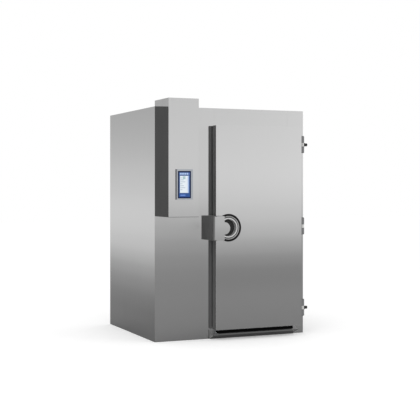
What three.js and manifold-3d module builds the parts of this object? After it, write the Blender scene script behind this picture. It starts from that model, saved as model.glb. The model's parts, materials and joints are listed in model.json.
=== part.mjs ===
// Roll-in blast chiller with a control column on its upper left and one full-height door.
// Millimetres, +Z up. The origin is on the floor under the middle of the cabinet,
// X runs to the right and Y to the back. "Out" means forward of the cabinet's front plane.
import * as THREE from "three";
import { mergeVertices } from "three/addons/utils/BufferGeometryUtils.js";
import Module from "manifold-3d";

const wasm = await Module();
wasm.setup();

// Clearances
const seam = 0.3; // between pieces that are fitted together
const runningGap = 3; // between a moving piece and what it passes

// Cabinet of insulated panels
const cabinetWidth = 1600;
const cabinetDepth = 1370;
const cabinetHeight = 2235;
const wallThickness = 80;
const floorThickness = 95;
const roofThickness = 100;

// Doorway and its raised frame
const doorwayInset = 553; // cabinet's left side to the door's left edge
const hingePostWidth = 123; // door's right edge to the cabinet's right side
const headerHeight = 176;
const frameWidth = 61;
const frameDepth = 63;
const doorFloorStep = 11; // floor's top to the door's bottom edge

// Sill under the door
const sillReach = 107;
const sillFall = 37;
const sillLip = 14;
const sillSheet = 3;
const kickRecess = 92;

// Control column
const columnWidth = 300;
const columnDepth = 362;
const columnBottom = 1193;
const columnRise = 53; // above the cabinet's roof
const columnSheet = 3;
const cheekDrop = 29; // the cheek's top edge is this much lower at the front

// Display on the column's front
const bezelInset = 64;
const bezelWidth = 158;
const bezelHeight = 279;
const bezelDepth = 45;
const bezelAboveBase = 162;
const glassMarginLeft = 10;
const glassMarginRight = 20;
const glassMarginBottom = 12;
const glassMarginTop = 17;
const glassThickness = 3;
const boardWidth = 170;
const boardHeight = 240;
const boardThickness = 2;
const standoffLength = 25;
const standoffRadius = 5;
const powerBoxWidth = 180;
const powerBoxHeight = 420;
const powerBoxDepth = 130;

// Door
const sealDepth = 36;
const doorThickness = 86;
const skinThickness = 2;
const linerThickness = 2;
const gasketInset = 8;
const gasketWidth = 38;
const sweepHeight = 24; // above the door's bottom edge
const sweepLift = 2; // above the sill

// Hinges
const hingeReach = 48; // door's right edge to the hinge axis
const hingeAxisOut = 115;
const hingeFromEnd = 166; // door's top or bottom edge to the middle of a hinge
const hingeHeight = 170;
const hingeSplit = 15; // the two leaves meet this much above the hinge's middle
const knuckleRadius = 18;
const knuckleChamfer = 6;
const pintleRadius = 8;
const leafThickness = 4;
const leafHeight = 160;
const postPlateWidth = 72;
const postPlateThickness = 8;
const hingeArmWidth = 24;
const stopBossReach = 19;
const stopRadius = 15;
const stopLength = 30;

// Latch and lever
const handleHeight = 1081;
const latchHeight = 230;
const latchWidth = 110;
const latchOverhang = 74; // how far the latch reaches past the door's left edge
const latchReach = 117; // door's face to the front of the lever plate
const leverThickness = 15;
const leverNoseRadius = 58;
const leverCornerRadius = 6;
const leverPinRadius = 5;
const earThickness = 4;
const boltWidth = 20;
const boltHeight = 28;
const boltInHousing = 38;
const boltInKeeper = 24;
const boltTravel = 12;

// Round pull recess in the door
const recessFromEdge = 128; // door's left edge to the middle of the recess
const recessRadius = 82;
const recessDepth = 42;
const cupWall = 3;
const cupFlangeRadius = 96;
const cupFlangeThickness = 2;
const lipWidth = 12;
const lipHeight = 8;
const grooveRadius = 104;
const grooveFloor = 3.6;
const escutcheonRadius = 119;
const escutcheonHeight = 6;
const escutcheonBevel = 1.5;
const rimWidth = 12;
const rimHeight = 9;

// Inner release knob
const releaseRodRadius = 8;
const releaseKnobRadius = 30;
const releaseKnobThickness = 15;
const releaseStandOff = 22; // knob's back to the liner
const releaseRodInSlab = 9;
const releaseTravel = 15;

// Cooling section
const fanPanelFromLeft = 500; // cabinet's left side to the fan panel
const fanPanelThickness = 30;
const fanPanelEndGap = 25; // to the floor and the roof
const landingPostDepth = 40;
const panelRodRadius = 8;
const panelRodFromWall = 20;
const panelCollarRadius = 14;
const panelCollarHeight = 6;
const panelKnuckleRadius = 16;
const panelKnuckleHeight = 90;
const panelHingeGap = 20; // rod's axis to the panel's rear edge
const fanCount = 3;
const fanPitch = 620;
const fanHoleRadius = 228;
const fanRadius = 221;
const fanHubRadius = 58;
const fanHubLength = 30;
const bladeCount = 5;
const bladeThickness = 3;
const bladeRootWidth = 70;
const bladeTipWidth = 150;
const bladeTwist = 32; // degrees
const motorRadius = 52;
const motorLength = 44;
const shaftRadius = 10;
const guardRingWidth = 16;
const guardRingThickness = 6;
const guardStandOff = 55;
const guardHubRadius = 75;
const guardHubThickness = 4;
const guardWire = 5;
const guardArmCount = 6;
const guardRingCount = 2;
const coilThickness = 200;
const coilFromLeft = 160;
const coilEndGap = 180; // coil's ends to the cabinet's outer faces
const coilHeight = 1780;
const coilFootHeight = 75;
const endPlateThickness = 6;
const endPlateMargin = 15;
const finGrooveCount = 18;
const finGrooveDepth = 12;
const trayMargin = 45;
const trayHeight = 60;
const traySheet = 3;
const drainRadius = 16;
const drainReach = 20; // past the cabinet's back
const suctionRadius = 14;
const liquidRadius = 8;
const pipePitch = 70;
const pipeRise = 35; // above the roof
const pipeHoleGap = 1.5;
const railHeight = 90;
const railThickness = 20;
const railAboveFloor = 210;
const railEndGap = 200;

// Planes and places that follow from the sizes
const left = -cabinetWidth / 2;
const right = cabinetWidth / 2;
const front = -cabinetDepth / 2;
const back = cabinetDepth / 2;
const innerLeft = left + wallThickness;
const innerRight = right - wallThickness;
const innerFront = front + wallThickness;
const innerBack = back - wallThickness;
const ceiling = cabinetHeight - roofThickness;
const doorLeft = left + doorwayInset;
const doorRight = right - hingePostWidth;
const doorBottom = floorThickness + doorFloorStep;
const doorTop = cabinetHeight - headerHeight;
const openingLeft = doorLeft + frameWidth;
const openingRight = doorRight - frameWidth;
const openingTop = doorTop - frameWidth;
const doorBackOut = frameDepth + sealDepth;
const doorFaceOut = doorBackOut + doorThickness;
const slabFaceOut = doorFaceOut - skinThickness - seam;
const hingeX = doorRight + hingeReach;
const recessX = doorLeft + recessFromEdge;
const latchLeft = doorLeft - latchOverhang;
const latchRight = latchLeft + latchWidth;
const latchBase = handleHeight - latchHeight / 2;
const columnTop = cabinetHeight + columnRise;

// Finishes
const steel = finish(0xb9bbbd, 0.34, 0.9);
const liningSteel = finish(0xc6c8ca, 0.4, 0.85);
const darkCoat = finish(0x4b4b4d, 0.55, 0.2);
const greySheet = finish(0x9e9fa1, 0.42, 0.6);
const bezelGrey = finish(0xb4b6b8, 0.4, 0.3);
const screenGlass = finish(0x1e3a6a, 0.1, 0.0);
const blackRubber = finish(0x222324, 0.8, 0.0);
const castMetal = finish(0x8c8e90, 0.45, 0.8);
const copper = finish(0xb4693f, 0.35, 0.95);
const finAluminium = finish(0xc9ccce, 0.45, 0.8);
const boardGreen = finish(0x1f6b45, 0.6, 0.0);
const plasticBlack = finish(0x2a2b2d, 0.5, 0.0);

function finish(color, roughness, metalness) {
  return new THREE.MeshStandardMaterial({ color, roughness, metalness });
}

// Geometry helpers
const xAxis = new THREE.Vector3(1, 0, 0);
const yAxis = new THREE.Vector3(0, 1, 0);
const zAxis = new THREE.Vector3(0, 0, 1);
const outAxis = new THREE.Vector3(0, -1, 0);

function out(distance) {
  return front - distance;
}

function box(x, y, z) {
  const geometry = new THREE.BoxGeometry(x[1] - x[0], y[1] - y[0], z[1] - z[0]);
  return geometry.translate((x[0] + x[1]) / 2, (y[0] + y[1]) / 2, (z[0] + z[1]) / 2);
}

function outline(points) {
  return new THREE.Shape(points.map(([u, v]) => new THREE.Vector2(u, v)));
}

function roundHole(x, y, radius) {
  return new THREE.Path().absarc(x, y, radius, 0, Math.PI * 2, true);
}

function extrude(shape, depth, curveSegments = 24) {
  return new THREE.ExtrudeGeometry(shape, { depth, bevelEnabled: false, curveSegments });
}

// Turns a geometry so that its own x, y and z run along three given directions.
function turn(geometry, alongX, alongY, alongZ) {
  return geometry.applyMatrix4(new THREE.Matrix4().makeBasis(alongX, alongY, alongZ));
}

// A plan outline raised from one height to another.
function raised(points, z) {
  return extrude(outline(points), z[1] - z[0]).translate(0, 0, z[0]);
}

// An outline seen from the front, made thick towards the viewer from one distance out.
function facing(shape, fromOut, thickness) {
  return turn(extrude(shape, thickness), xAxis, zAxis, outAxis).translate(0, out(fromOut), 0);
}

// An outline of (out, height) points run across the cabinet.
function across(points, x) {
  const shape = outline(points.map(([distance, z]) => [out(distance), z]));
  return turn(extrude(shape, x[1] - x[0]), yAxis, zAxis, xAxis).translate(x[0], 0, 0);
}

// A profile of (radius, height) points turned about the vertical axis.
function turned(points, segments = 32) {
  const profile = points.map(([radius, height]) => new THREE.Vector2(radius, height));
  return turn(new THREE.LatheGeometry(profile, segments), xAxis, zAxis, outAxis);
}

// The same profile with its axis pointing out of the front.
function turnedOut(points, segments = 48) {
  return turned(points, segments).rotateX(Math.PI / 2);
}

// The same profile with its axis along X.
function turnedAcross(points, segments = 32) {
  return turned(points, segments).rotateY(Math.PI / 2);
}

function rod(radius, height, segments = 24) {
  return [[0, height[0]], [radius, height[0]], [radius, height[1]], [0, height[1]]];
}

function ring(inner, outer, height) {
  return [[inner, height[0]], [outer, height[0]], [outer, height[1]], [inner, height[1]], [inner, height[0]]];
}

function solidOf(geometry) {
  const bare = geometry.clone();
  bare.deleteAttribute("normal");
  bare.deleteAttribute("uv");
  const merged = mergeVertices(bare);
  const mesh = new wasm.Mesh({
    numProp: 3,
    vertProperties: new Float32Array(merged.attributes.position.array),
    triVerts: new Uint32Array(merged.index.array),
  });
  return new wasm.Manifold(mesh);
}

function geometryOf(solid) {
  const mesh = solid.getMesh();
  const geometry = new THREE.BufferGeometry();
  geometry.setAttribute("position", new THREE.BufferAttribute(mesh.vertProperties, 3));
  geometry.setIndex(new THREE.BufferAttribute(mesh.triVerts, 1));
  geometry.computeVertexNormals();
  return geometry;
}

function join(...geometries) {
  return geometryOf(geometries.map(solidOf).reduce((sum, part) => sum.add(part)));
}

function cut(geometry, ...cutters) {
  return geometryOf(cutters.map(solidOf).reduce((rest, part) => rest.subtract(part), solidOf(geometry)));
}

function add(group, name, geometry, material, x = 0, y = 0, z = 0) {
  const mesh = new THREE.Mesh(geometry, material);
  mesh.name = name;
  mesh.position.set(x, y, z);
  group.add(mesh);
  return mesh;
}

function sillTop(distanceOut) {
  return floorThickness - (sillFall * distanceOut) / sillReach;
}

// Insulated panels, mitred at the corners, with the roof and floor held between the walls
function buildCabinet() {
  const group = new THREE.Group();
  const height = [0, cabinetHeight];
  const leftPlan = [
    [left, front + seam],
    [innerLeft, innerFront + seam],
    [innerLeft, innerBack - seam],
    [left, back - seam],
  ];
  const rightPlan = leftPlan.map(([x, y]) => [-x, y]).reverse();
  const rearPlan = [[right, back], [left, back], [innerLeft, innerBack], [innerRight, innerBack]];
  const frontPlan = [
    [left, front],
    [openingLeft - seam, front],
    [openingLeft - seam, innerFront],
    [innerLeft, innerFront],
  ];
  const postPlan = [
    [openingRight + seam, front],
    [right, front],
    [innerRight, innerFront],
    [openingRight + seam, innerFront],
  ];
  const drain = turned(rod(drainRadius + pipeHoleGap, [0, wallThickness * 2])).rotateX(-Math.PI / 2);
  drain.translate(coilMiddleX(), innerBack - wallThickness / 2, drainHeight());
  add(group, "left_wall", raised(leftPlan, height), steel);
  add(group, "right_wall", raised(rightPlan, height), steel);
  add(group, "rear_wall", cut(raised(rearPlan, height), drain), steel);
  add(group, "front_panel", raised(frontPlan, height), steel);
  add(group, "hinge_post", raised(postPlan, height), steel);
  const opening = [openingLeft, openingRight];
  add(group, "header_panel", box(opening, [front, innerFront], [openingTop + seam, cabinetHeight]), steel);

  const insideX = [innerLeft + seam, innerRight - seam];
  const insideY = [innerFront + seam, innerBack - seam];
  const floorPlan = [
    [insideX[0], insideY[1]],
    [insideX[0], insideY[0]],
    [openingLeft, insideY[0]],
    [openingLeft, front],
    [openingRight, front],
    [openingRight, insideY[0]],
    [insideX[1], insideY[0]],
    [insideX[1], insideY[1]],
  ];
  add(group, "floor_panel", raised(floorPlan, [0, floorThickness]), liningSteel);
  const pipeHoles = pipePlaces().map(({ x, y, radius }) =>
    turned(rod(radius + pipeHoleGap, [ceiling - seam * 2, cabinetHeight + seam])).translate(x, y, 0));
  add(group, "roof_panel", cut(box(insideX, insideY, [ceiling, cabinetHeight]), ...pipeHoles), steel);
  return group;
}

// Raised frame round the doorway, and the sloping sill with its kick plate
function buildDoorway() {
  const group = new THREE.Group();
  const depth = [out(frameDepth), front - seam];
  add(group, "frame_left", box([doorLeft, openingLeft], depth, [doorBottom, openingTop - seam]), darkCoat);
  add(group, "frame_right", box([openingRight, doorRight], depth, [doorBottom, openingTop - seam]), darkCoat);
  add(group, "frame_head", box([doorLeft, doorRight], depth, [openingTop, doorTop]), darkCoat);
  const lipTop = sillTop(sillReach);
  const sill = [
    [seam, sillTop(seam)],
    [sillReach, lipTop],
    [sillReach, lipTop - sillLip],
    [sillReach - sillSheet, lipTop - sillLip],
    [sillReach - sillSheet, sillTop(sillReach - sillSheet) - sillSheet],
    [seam, sillTop(seam) - sillSheet],
  ];
  const kickOut = sillReach - kickRecess;
  const kick = [
    [seam, 0],
    [kickOut, 0],
    [kickOut, sillTop(kickOut) - sillSheet - seam],
    [seam, sillTop(seam) - sillSheet - seam],
  ];
  const cheekBack = kickOut + seam;
  const cheekFront = sillReach - sillSheet / 2;
  const endCheek = [
    [cheekBack, 0],
    [cheekFront, lipTop - sillLip],
    [cheekFront, sillTop(cheekFront) - sillSheet / 2],
    [cheekBack, sillTop(cheekBack) - sillSheet / 2],
  ];
  const leftCheek = across(endCheek, [doorLeft, doorLeft + sillSheet]);
  const rightCheek = across(endCheek, [doorRight - sillSheet, doorRight]);
  add(group, "threshold_sill", join(across(sill, [doorLeft, doorRight]), leftCheek, rightCheek), steel);
  add(group, "kick_plate", across(kick, [doorLeft, doorRight]), darkCoat);
  return group;
}

// Sheet-metal column in front of the cabinet, flush with its left side
function buildColumn() {
  const group = new THREE.Group();
  group.position.set(left, front, columnBottom);
  const height = columnTop - columnBottom;
  const sheetTop = columnSheet + seam;
  const rearFace = -seam;
  const frontInside = -columnDepth + columnSheet;
  const housingPlan = [
    [0, frontInside],
    [0, -columnDepth],
    [columnWidth, -columnDepth],
    [columnWidth, rearFace],
    [columnWidth - columnSheet, rearFace],
    [columnWidth - columnSheet, frontInside],
  ];
  add(group, "column_housing", raised(housingPlan, [sheetTop, height]), steel);
  add(group, "column_base", box([0, columnWidth], [-columnDepth, rearFace], [0, columnSheet]), darkCoat);

  const cheekBack = cabinetHeight - columnBottom;
  const cheekFront = cheekBack - cheekDrop;
  const sideFront = frontInside + seam;
  const cheek = outline([
    [sideFront, sheetTop],
    [rearFace, sheetTop],
    [rearFace, cheekBack - seam],
    [sideFront, cheekFront - seam],
  ]);
  add(group, "column_cheek", turn(extrude(cheek, columnSheet), yAxis, zAxis, xAxis), darkCoat);
  const skirt = outline([
    [sideFront, cheekFront],
    [rearFace, cheekBack],
    [rearFace, height],
    [sideFront, height],
  ]);
  const lid = [0, columnWidth - columnSheet - seam];
  const hood = join(
    turn(extrude(skirt, columnSheet), yAxis, zAxis, xAxis),
    box(lid, [sideFront, rearFace], [height - columnSheet, height]),
    box(lid, [rearFace - columnSheet, rearFace], [cheekBack + seam, height]),
  );
  add(group, "column_hood", hood, greySheet);

  const bezelX = [bezelInset, bezelInset + bezelWidth];
  const bezelZ = [bezelAboveBase, bezelAboveBase + bezelHeight];
  const bezelBack = -columnDepth - seam;
  const bezelFront = -columnDepth - bezelDepth;
  const glassX = [bezelX[0] + glassMarginLeft, bezelX[1] - glassMarginRight];
  const glassZ = [bezelZ[0] + glassMarginBottom, bezelZ[1] - glassMarginTop];
  const pocket = box(
    [glassX[0] - seam, glassX[1] + seam],
    [bezelFront - glassThickness, bezelFront + glassThickness + seam],
    [glassZ[0] - seam, glassZ[1] + seam],
  );
  add(group, "display_bezel", cut(box(bezelX, [bezelFront, bezelBack], bezelZ), pocket), bezelGrey);
  const glassY = [bezelFront, bezelFront + glassThickness];
  add(group, "display_glass", box(glassX, glassY, glassZ), screenGlass);

  const boardPlace = [bezelInset + bezelWidth / 2, frontInside + seam, bezelAboveBase + bezelHeight / 2];
  const board = [box(
    [-boardWidth / 2, boardWidth / 2],
    [standoffLength, standoffLength + boardThickness],
    [-boardHeight / 2, boardHeight / 2],
  )];
  for (const sideX of [-1, 1]) {
    for (const sideZ of [-1, 1]) {
      const post = turnedOut(rod(standoffRadius, [-standoffLength - boardThickness / 2, 0]), 12);
      const inset = standoffRadius * 2;
      board.push(post.translate(sideX * (boardWidth / 2 - inset), 0, sideZ * (boardHeight / 2 - inset)));
    }
  }
  add(group, "controller_board", join(...board), boardGreen, ...boardPlace);
  const powerBox = box([-powerBoxWidth / 2, powerBoxWidth / 2], [-powerBoxDepth, 0], [0, powerBoxHeight]);
  add(group, "power_box", powerBox, greySheet, columnWidth / 2, rearFace, sheetTop + boardHeight / 4);
  return group;
}

// Door leaf: skin, slab, liner, gasket on three sides and sweep along the bottom
function buildDoor() {
  const group = new THREE.Group();
  const face = new THREE.Shape();
  face.moveTo(doorLeft, doorBottom);
  face.lineTo(doorRight, doorBottom);
  face.lineTo(doorRight, doorTop);
  face.lineTo(doorLeft, doorTop);
  const cupHole = recessRadius + cupWall + seam;
  face.holes.push(roundHole(recessX, handleHeight, cupHole));
  add(group, "door_skin", facing(face, slabFaceOut + seam, skinThickness), steel);

  const slabDepth = [out(slabFaceOut), out(doorBackOut)];
  const cupPocket = turnedOut(rod(cupHole, [-recessDepth - cupWall - seam, 0]));
  cupPocket.translate(recessX, out(doorFaceOut), handleHeight);
  const rodDepth = releaseRodInSlab + releaseTravel + seam;
  const rodHole = turnedOut(rod(releaseRodRadius + seam, [-seam, rodDepth]), 24);
  rodHole.translate(recessX, out(doorBackOut), handleHeight);
  const slab = cut(box([doorLeft, doorRight], slabDepth, [doorBottom, doorTop]), cupPocket, rodHole);
  add(group, "door_slab", slab, darkCoat);

  const gasketOuter = [doorLeft + gasketInset, doorRight - gasketInset, doorTop - gasketInset];
  const gasketInner = [
    gasketOuter[0] + gasketWidth,
    gasketOuter[1] - gasketWidth,
    gasketOuter[2] - gasketWidth,
  ];
  const gasketFoot = doorBottom + sweepHeight + seam;
  const gasket = outline([
    [gasketOuter[0], gasketFoot],
    [gasketInner[0], gasketFoot],
    [gasketInner[0], gasketInner[2]],
    [gasketInner[1], gasketInner[2]],
    [gasketInner[1], gasketFoot],
    [gasketOuter[1], gasketFoot],
    [gasketOuter[1], gasketOuter[2]],
    [gasketOuter[0], gasketOuter[2]],
  ]);
  const sealBack = frameDepth + seam * 2;
  add(group, "door_gasket", facing(gasket, sealBack, doorBackOut - seam - sealBack), blackRubber);
  const sweep = [
    [sealBack, sillTop(sealBack) + sweepLift],
    [doorBackOut - seam, sillTop(doorBackOut - seam) + sweepLift],
    [doorBackOut - seam, doorBottom + sweepHeight],
    [sealBack, doorBottom + sweepHeight],
  ];
  add(group, "door_sweep", across(sweep, [gasketOuter[0], gasketOuter[1]]), blackRubber);

  const liner = new THREE.Shape();
  liner.moveTo(gasketInner[0] + seam, gasketFoot);
  liner.lineTo(gasketInner[1] - seam, gasketFoot);
  liner.lineTo(gasketInner[1] - seam, gasketInner[2] - seam);
  liner.lineTo(gasketInner[0] + seam, gasketInner[2] - seam);
  liner.holes.push(roundHole(recessX, handleHeight, releaseRodRadius + seam));
  add(group, "door_liner", facing(liner, doorBackOut - seam - linerThickness, linerThickness), liningSteel);
  return group;
}

// Three lift-off hinges: the post's leaf carries the pintle, the door's leaf drops over it
function buildHinges() {
  const group = new THREE.Group();
  const half = hingeHeight / 2;
  const places = [
    { suffix: "bottom", z: doorBottom + hingeFromEnd, hasStop: true },
    { suffix: "middle", z: (doorBottom + doorTop) / 2, hasStop: false },
    { suffix: "top", z: doorTop - hingeFromEnd, hasStop: true },
  ];
  const postKnuckle = turned([
    [0, -half],
    [knuckleRadius - knuckleChamfer, -half],
    [knuckleRadius, -half + knuckleChamfer],
    [knuckleRadius, hingeSplit],
    [pintleRadius, hingeSplit],
    [pintleRadius, half - knuckleChamfer],
    [0, half - knuckleChamfer],
  ], 24);
  const plateLeft = -postPlateWidth / 2;
  const postPlate = box(
    [plateLeft, plateLeft + postPlateWidth],
    [hingeAxisOut - postPlateThickness, hingeAxisOut - seam],
    [-leafHeight / 2, leafHeight / 2],
  );
  const arm = [-leafHeight / 2, hingeSplit];
  const armX = [-hingeArmWidth / 2, hingeArmWidth / 2];
  const postArm = box(armX, [0, hingeAxisOut - postPlateThickness / 2], arm);
  const bossZ = [hingeSplit - stopRadius * 2 - leafThickness, hingeSplit - seam];
  const stopBoss = box([0, stopBossReach], [-stopRadius, stopRadius], bossZ);
  const bore = pintleRadius + seam;
  const doorKnuckle = turned([
    [bore, hingeSplit + seam],
    [knuckleRadius, hingeSplit + seam],
    [knuckleRadius, half - knuckleChamfer],
    [knuckleRadius - knuckleChamfer, half],
    [bore, half],
    [bore, hingeSplit + seam],
  ], 24);
  const doorArm = box(
    [-hingeReach + seam, -pintleRadius - leafThickness],
    [-hingeArmWidth / 2, hingeArmWidth / 2],
    [hingeSplit + seam, leafHeight / 2],
  );
  const leafBack = hingeAxisOut - doorBackOut - leafThickness;
  const leafFront = hingeAxisOut - slabFaceOut + leafThickness;
  const doorPlate = box(
    [-hingeReach + seam, -hingeReach + seam + leafThickness],
    [leafFront, leafBack],
    [-leafHeight / 2, leafHeight / 2],
  );
  for (const { suffix, z, hasStop } of places) {
    const postPieces = [postKnuckle, postPlate, postArm];
    if (hasStop) {
      postPieces.push(stopBoss);
    }
    add(group, `hinge_post_leaf_${suffix}`, join(...postPieces), castMetal, hingeX, out(hingeAxisOut), z);
    const doorLeaf = join(doorKnuckle, doorArm, doorPlate);
    add(group, `hinge_door_leaf_${suffix}`, doorLeaf, castMetal, hingeX, out(hingeAxisOut), z);
    if (hasStop) {
      const stopX = hingeX + stopBossReach + seam;
      const stop = turnedAcross(rod(stopRadius, [0, stopLength]), 20);
      const stopZ = z + (bossZ[0] + bossZ[1]) / 2;
      add(group, `hinge_stop_${suffix}`, stop, blackRubber, stopX, out(hingeAxisOut), stopZ);
    }
  }
  return group;
}

// Latch block on the door, lever plate with its nose, bolt, and the keeper on the cabinet
function buildLatch() {
  const group = new THREE.Group();
  group.position.set(latchLeft, out(doorFaceOut), latchBase);
  const barrelRadius = leverThickness + seam;
  const plateBack = -latchReach + leverThickness;
  const barrel = { x: barrelRadius, y: plateBack + seam };
  const shoulderX = barrelRadius * 2 + seam * 2;
  const shoulderY = barrel.y + barrelRadius + seam;
  const housingPlan = [
    [0, -seam],
    [0, shoulderY],
    [shoulderX, shoulderY],
    [shoulderX, plateBack + seam],
    [latchWidth, plateBack + seam],
    [latchWidth, -seam],
  ];
  const middle = latchHeight / 2;
  const boltLeft = (latchOverhang - boltWidth - boltTravel) / 2;
  const boltZ = [middle - boltHeight / 2, middle + boltHeight / 2];
  const slotX = [boltLeft - runningGap, boltLeft + boltWidth + boltTravel + runningGap];
  const boltSlot = box(slotX, [-boltInHousing - seam, seam], [boltZ[0] - seam, boltZ[1] + seam]);
  const pinHole = turned(rod(leverPinRadius + seam, [-seam, latchHeight + seam]), 16);
  pinHole.translate(barrel.x, barrel.y, 0);
  const ears = [[0, earThickness], [latchHeight - earThickness, latchHeight]].flatMap((ear) => [
    turned(rod(barrelRadius, ear), 24).translate(barrel.x, barrel.y, 0),
    box([0, barrelRadius * 2], [barrel.y, shoulderY + earThickness], ear),
  ]);
  const housing = cut(join(raised(housingPlan, [0, latchHeight]), ...ears), boltSlot, pinHole);
  add(group, "latch_housing", housing, darkCoat);

  const leverZ = [earThickness + seam, latchHeight - earThickness - seam];
  const plateShape = new THREE.Shape();
  const cornerX = latchWidth - leverCornerRadius;
  const cornerZ = latchHeight - leverCornerRadius;
  plateShape.moveTo(shoulderX, 0);
  plateShape.lineTo(cornerX, 0);
  plateShape.absarc(cornerX, leverCornerRadius, leverCornerRadius, -Math.PI / 2, 0, false);
  plateShape.absarc(latchWidth, middle, leverNoseRadius, -Math.PI / 2, Math.PI / 2, false);
  plateShape.absarc(cornerX, cornerZ, leverCornerRadius, 0, Math.PI / 2, false);
  plateShape.lineTo(shoulderX, latchHeight);
  const plate = turn(extrude(plateShape, leverThickness, 20), xAxis, zAxis, outAxis);
  plate.translate(0, plateBack, 0);
  const web = box([barrel.x, shoulderX + leverThickness], [-latchReach, plateBack], leverZ);
  const tube = turned(rod(barrelRadius, leverZ), 24).translate(barrel.x, barrel.y, 0);
  add(group, "handle_lever", cut(join(plate, web, tube), pinHole), steel);
  const pin = turned(rod(leverPinRadius, [0, latchHeight]), 16);
  add(group, "lever_pin", pin, castMetal, barrel.x, barrel.y, 0);

  const bolt = box([boltLeft, boltLeft + boltWidth], [-boltInHousing, boltInKeeper], boltZ);
  add(group, "latch_bolt", bolt, castMetal);
  const keeperZ = [boltZ[0] - seam * 2, boltZ[1] + seam * 2];
  const keeperSlot = box(slotX, [0, boltInKeeper + runningGap], keeperZ);
  const keeperY = [runningGap, doorFaceOut - seam];
  const keeperBody = box([0, latchOverhang - runningGap], keeperY, [0, latchHeight]);
  add(group, "keeper_block", cut(keeperBody, keeperSlot), darkCoat);
  return group;
}

// Round recess for the fingers with its escutcheon and rubber rim, and the release knob inside
function buildRecess() {
  const group = new THREE.Group();
  group.position.set(recessX, out(doorFaceOut), handleHeight);
  const cupRadius = recessRadius + cupWall;
  const flangeTop = seam + cupFlangeThickness;
  const cup = turnedOut([
    [0, -recessDepth - cupWall],
    [cupRadius, -recessDepth - cupWall],
    [cupRadius, seam],
    [cupFlangeRadius, seam],
    [cupFlangeRadius, flangeTop],
    [recessRadius, flangeTop],
    [recessRadius, -recessDepth],
    [0, -recessDepth],
  ]);
  const lipInner = recessRadius + seam * 2;
  const lipOuter = lipInner + lipWidth;
  const escutcheon = turnedOut([
    [cupFlangeRadius + seam, seam],
    [escutcheonRadius, seam],
    [escutcheonRadius, escutcheonHeight - escutcheonBevel],
    [escutcheonRadius - escutcheonBevel, escutcheonHeight],
    [grooveRadius + escutcheonBevel, escutcheonHeight],
    [grooveRadius, grooveFloor],
    [lipOuter, grooveFloor],
    [lipOuter, lipHeight - escutcheonBevel],
    [lipOuter - escutcheonBevel, lipHeight],
    [lipInner + escutcheonBevel, lipHeight],
    [lipInner, lipHeight - escutcheonBevel],
    [lipInner, flangeTop + seam],
    [cupFlangeRadius + seam, flangeTop + seam],
    [cupFlangeRadius + seam, seam],
  ]);
  const rimInner = escutcheonRadius + seam;
  const rimOuter = rimInner + rimWidth;
  const rimEdge = rimWidth / 3;
  const rim = turnedOut([
    [rimInner, seam],
    [rimOuter, seam],
    [rimOuter, rimHeight - rimEdge],
    [rimOuter - rimEdge, rimHeight],
    [rimInner + rimEdge, rimHeight],
    [rimInner, rimHeight - rimEdge],
    [rimInner, seam],
  ]);
  const latchEdge = latchRight - recessX + seam;
  const latchHalf = latchHeight / 2 + seam;
  const latchSpace = box([-rimOuter * 2, latchEdge], [-latchReach, 0], [-latchHalf, latchHalf]);
  add(group, "handle_cup", cut(cup, latchSpace), plasticBlack);
  add(group, "handle_escutcheon", cut(escutcheon, latchSpace), steel);
  add(group, "handle_rim", cut(rim, latchSpace), blackRubber);

  const knobBack = releaseStandOff + linerThickness + seam;
  const knobFront = knobBack + releaseKnobThickness;
  const knobEdge = releaseKnobThickness / 3;
  const knob = turned([
    [0, -releaseRodInSlab],
    [releaseRodRadius, -releaseRodInSlab],
    [releaseRodRadius, knobBack],
    [releaseKnobRadius, knobBack],
    [releaseKnobRadius, knobFront - knobEdge],
    [releaseKnobRadius - knobEdge, knobFront],
    [0, knobFront],
  ], 24).rotateX(-Math.PI / 2);
  add(group, "release_knob", knob, greySheet, 0, doorThickness, 0);
  return group;
}

function coilMiddleX() {
  return left + coilFromLeft + coilThickness / 2;
}

function drainHeight() {
  return floorThickness + traySheet + drainRadius + seam;
}

function pipePlaces() {
  const y = back - coilEndGap - pipePitch;
  return [
    { name: "suction_pipe", x: coilMiddleX(), y, radius: suctionRadius },
    { name: "liquid_pipe", x: coilMiddleX(), y: y - pipePitch, radius: liquidRadius },
  ];
}

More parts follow.
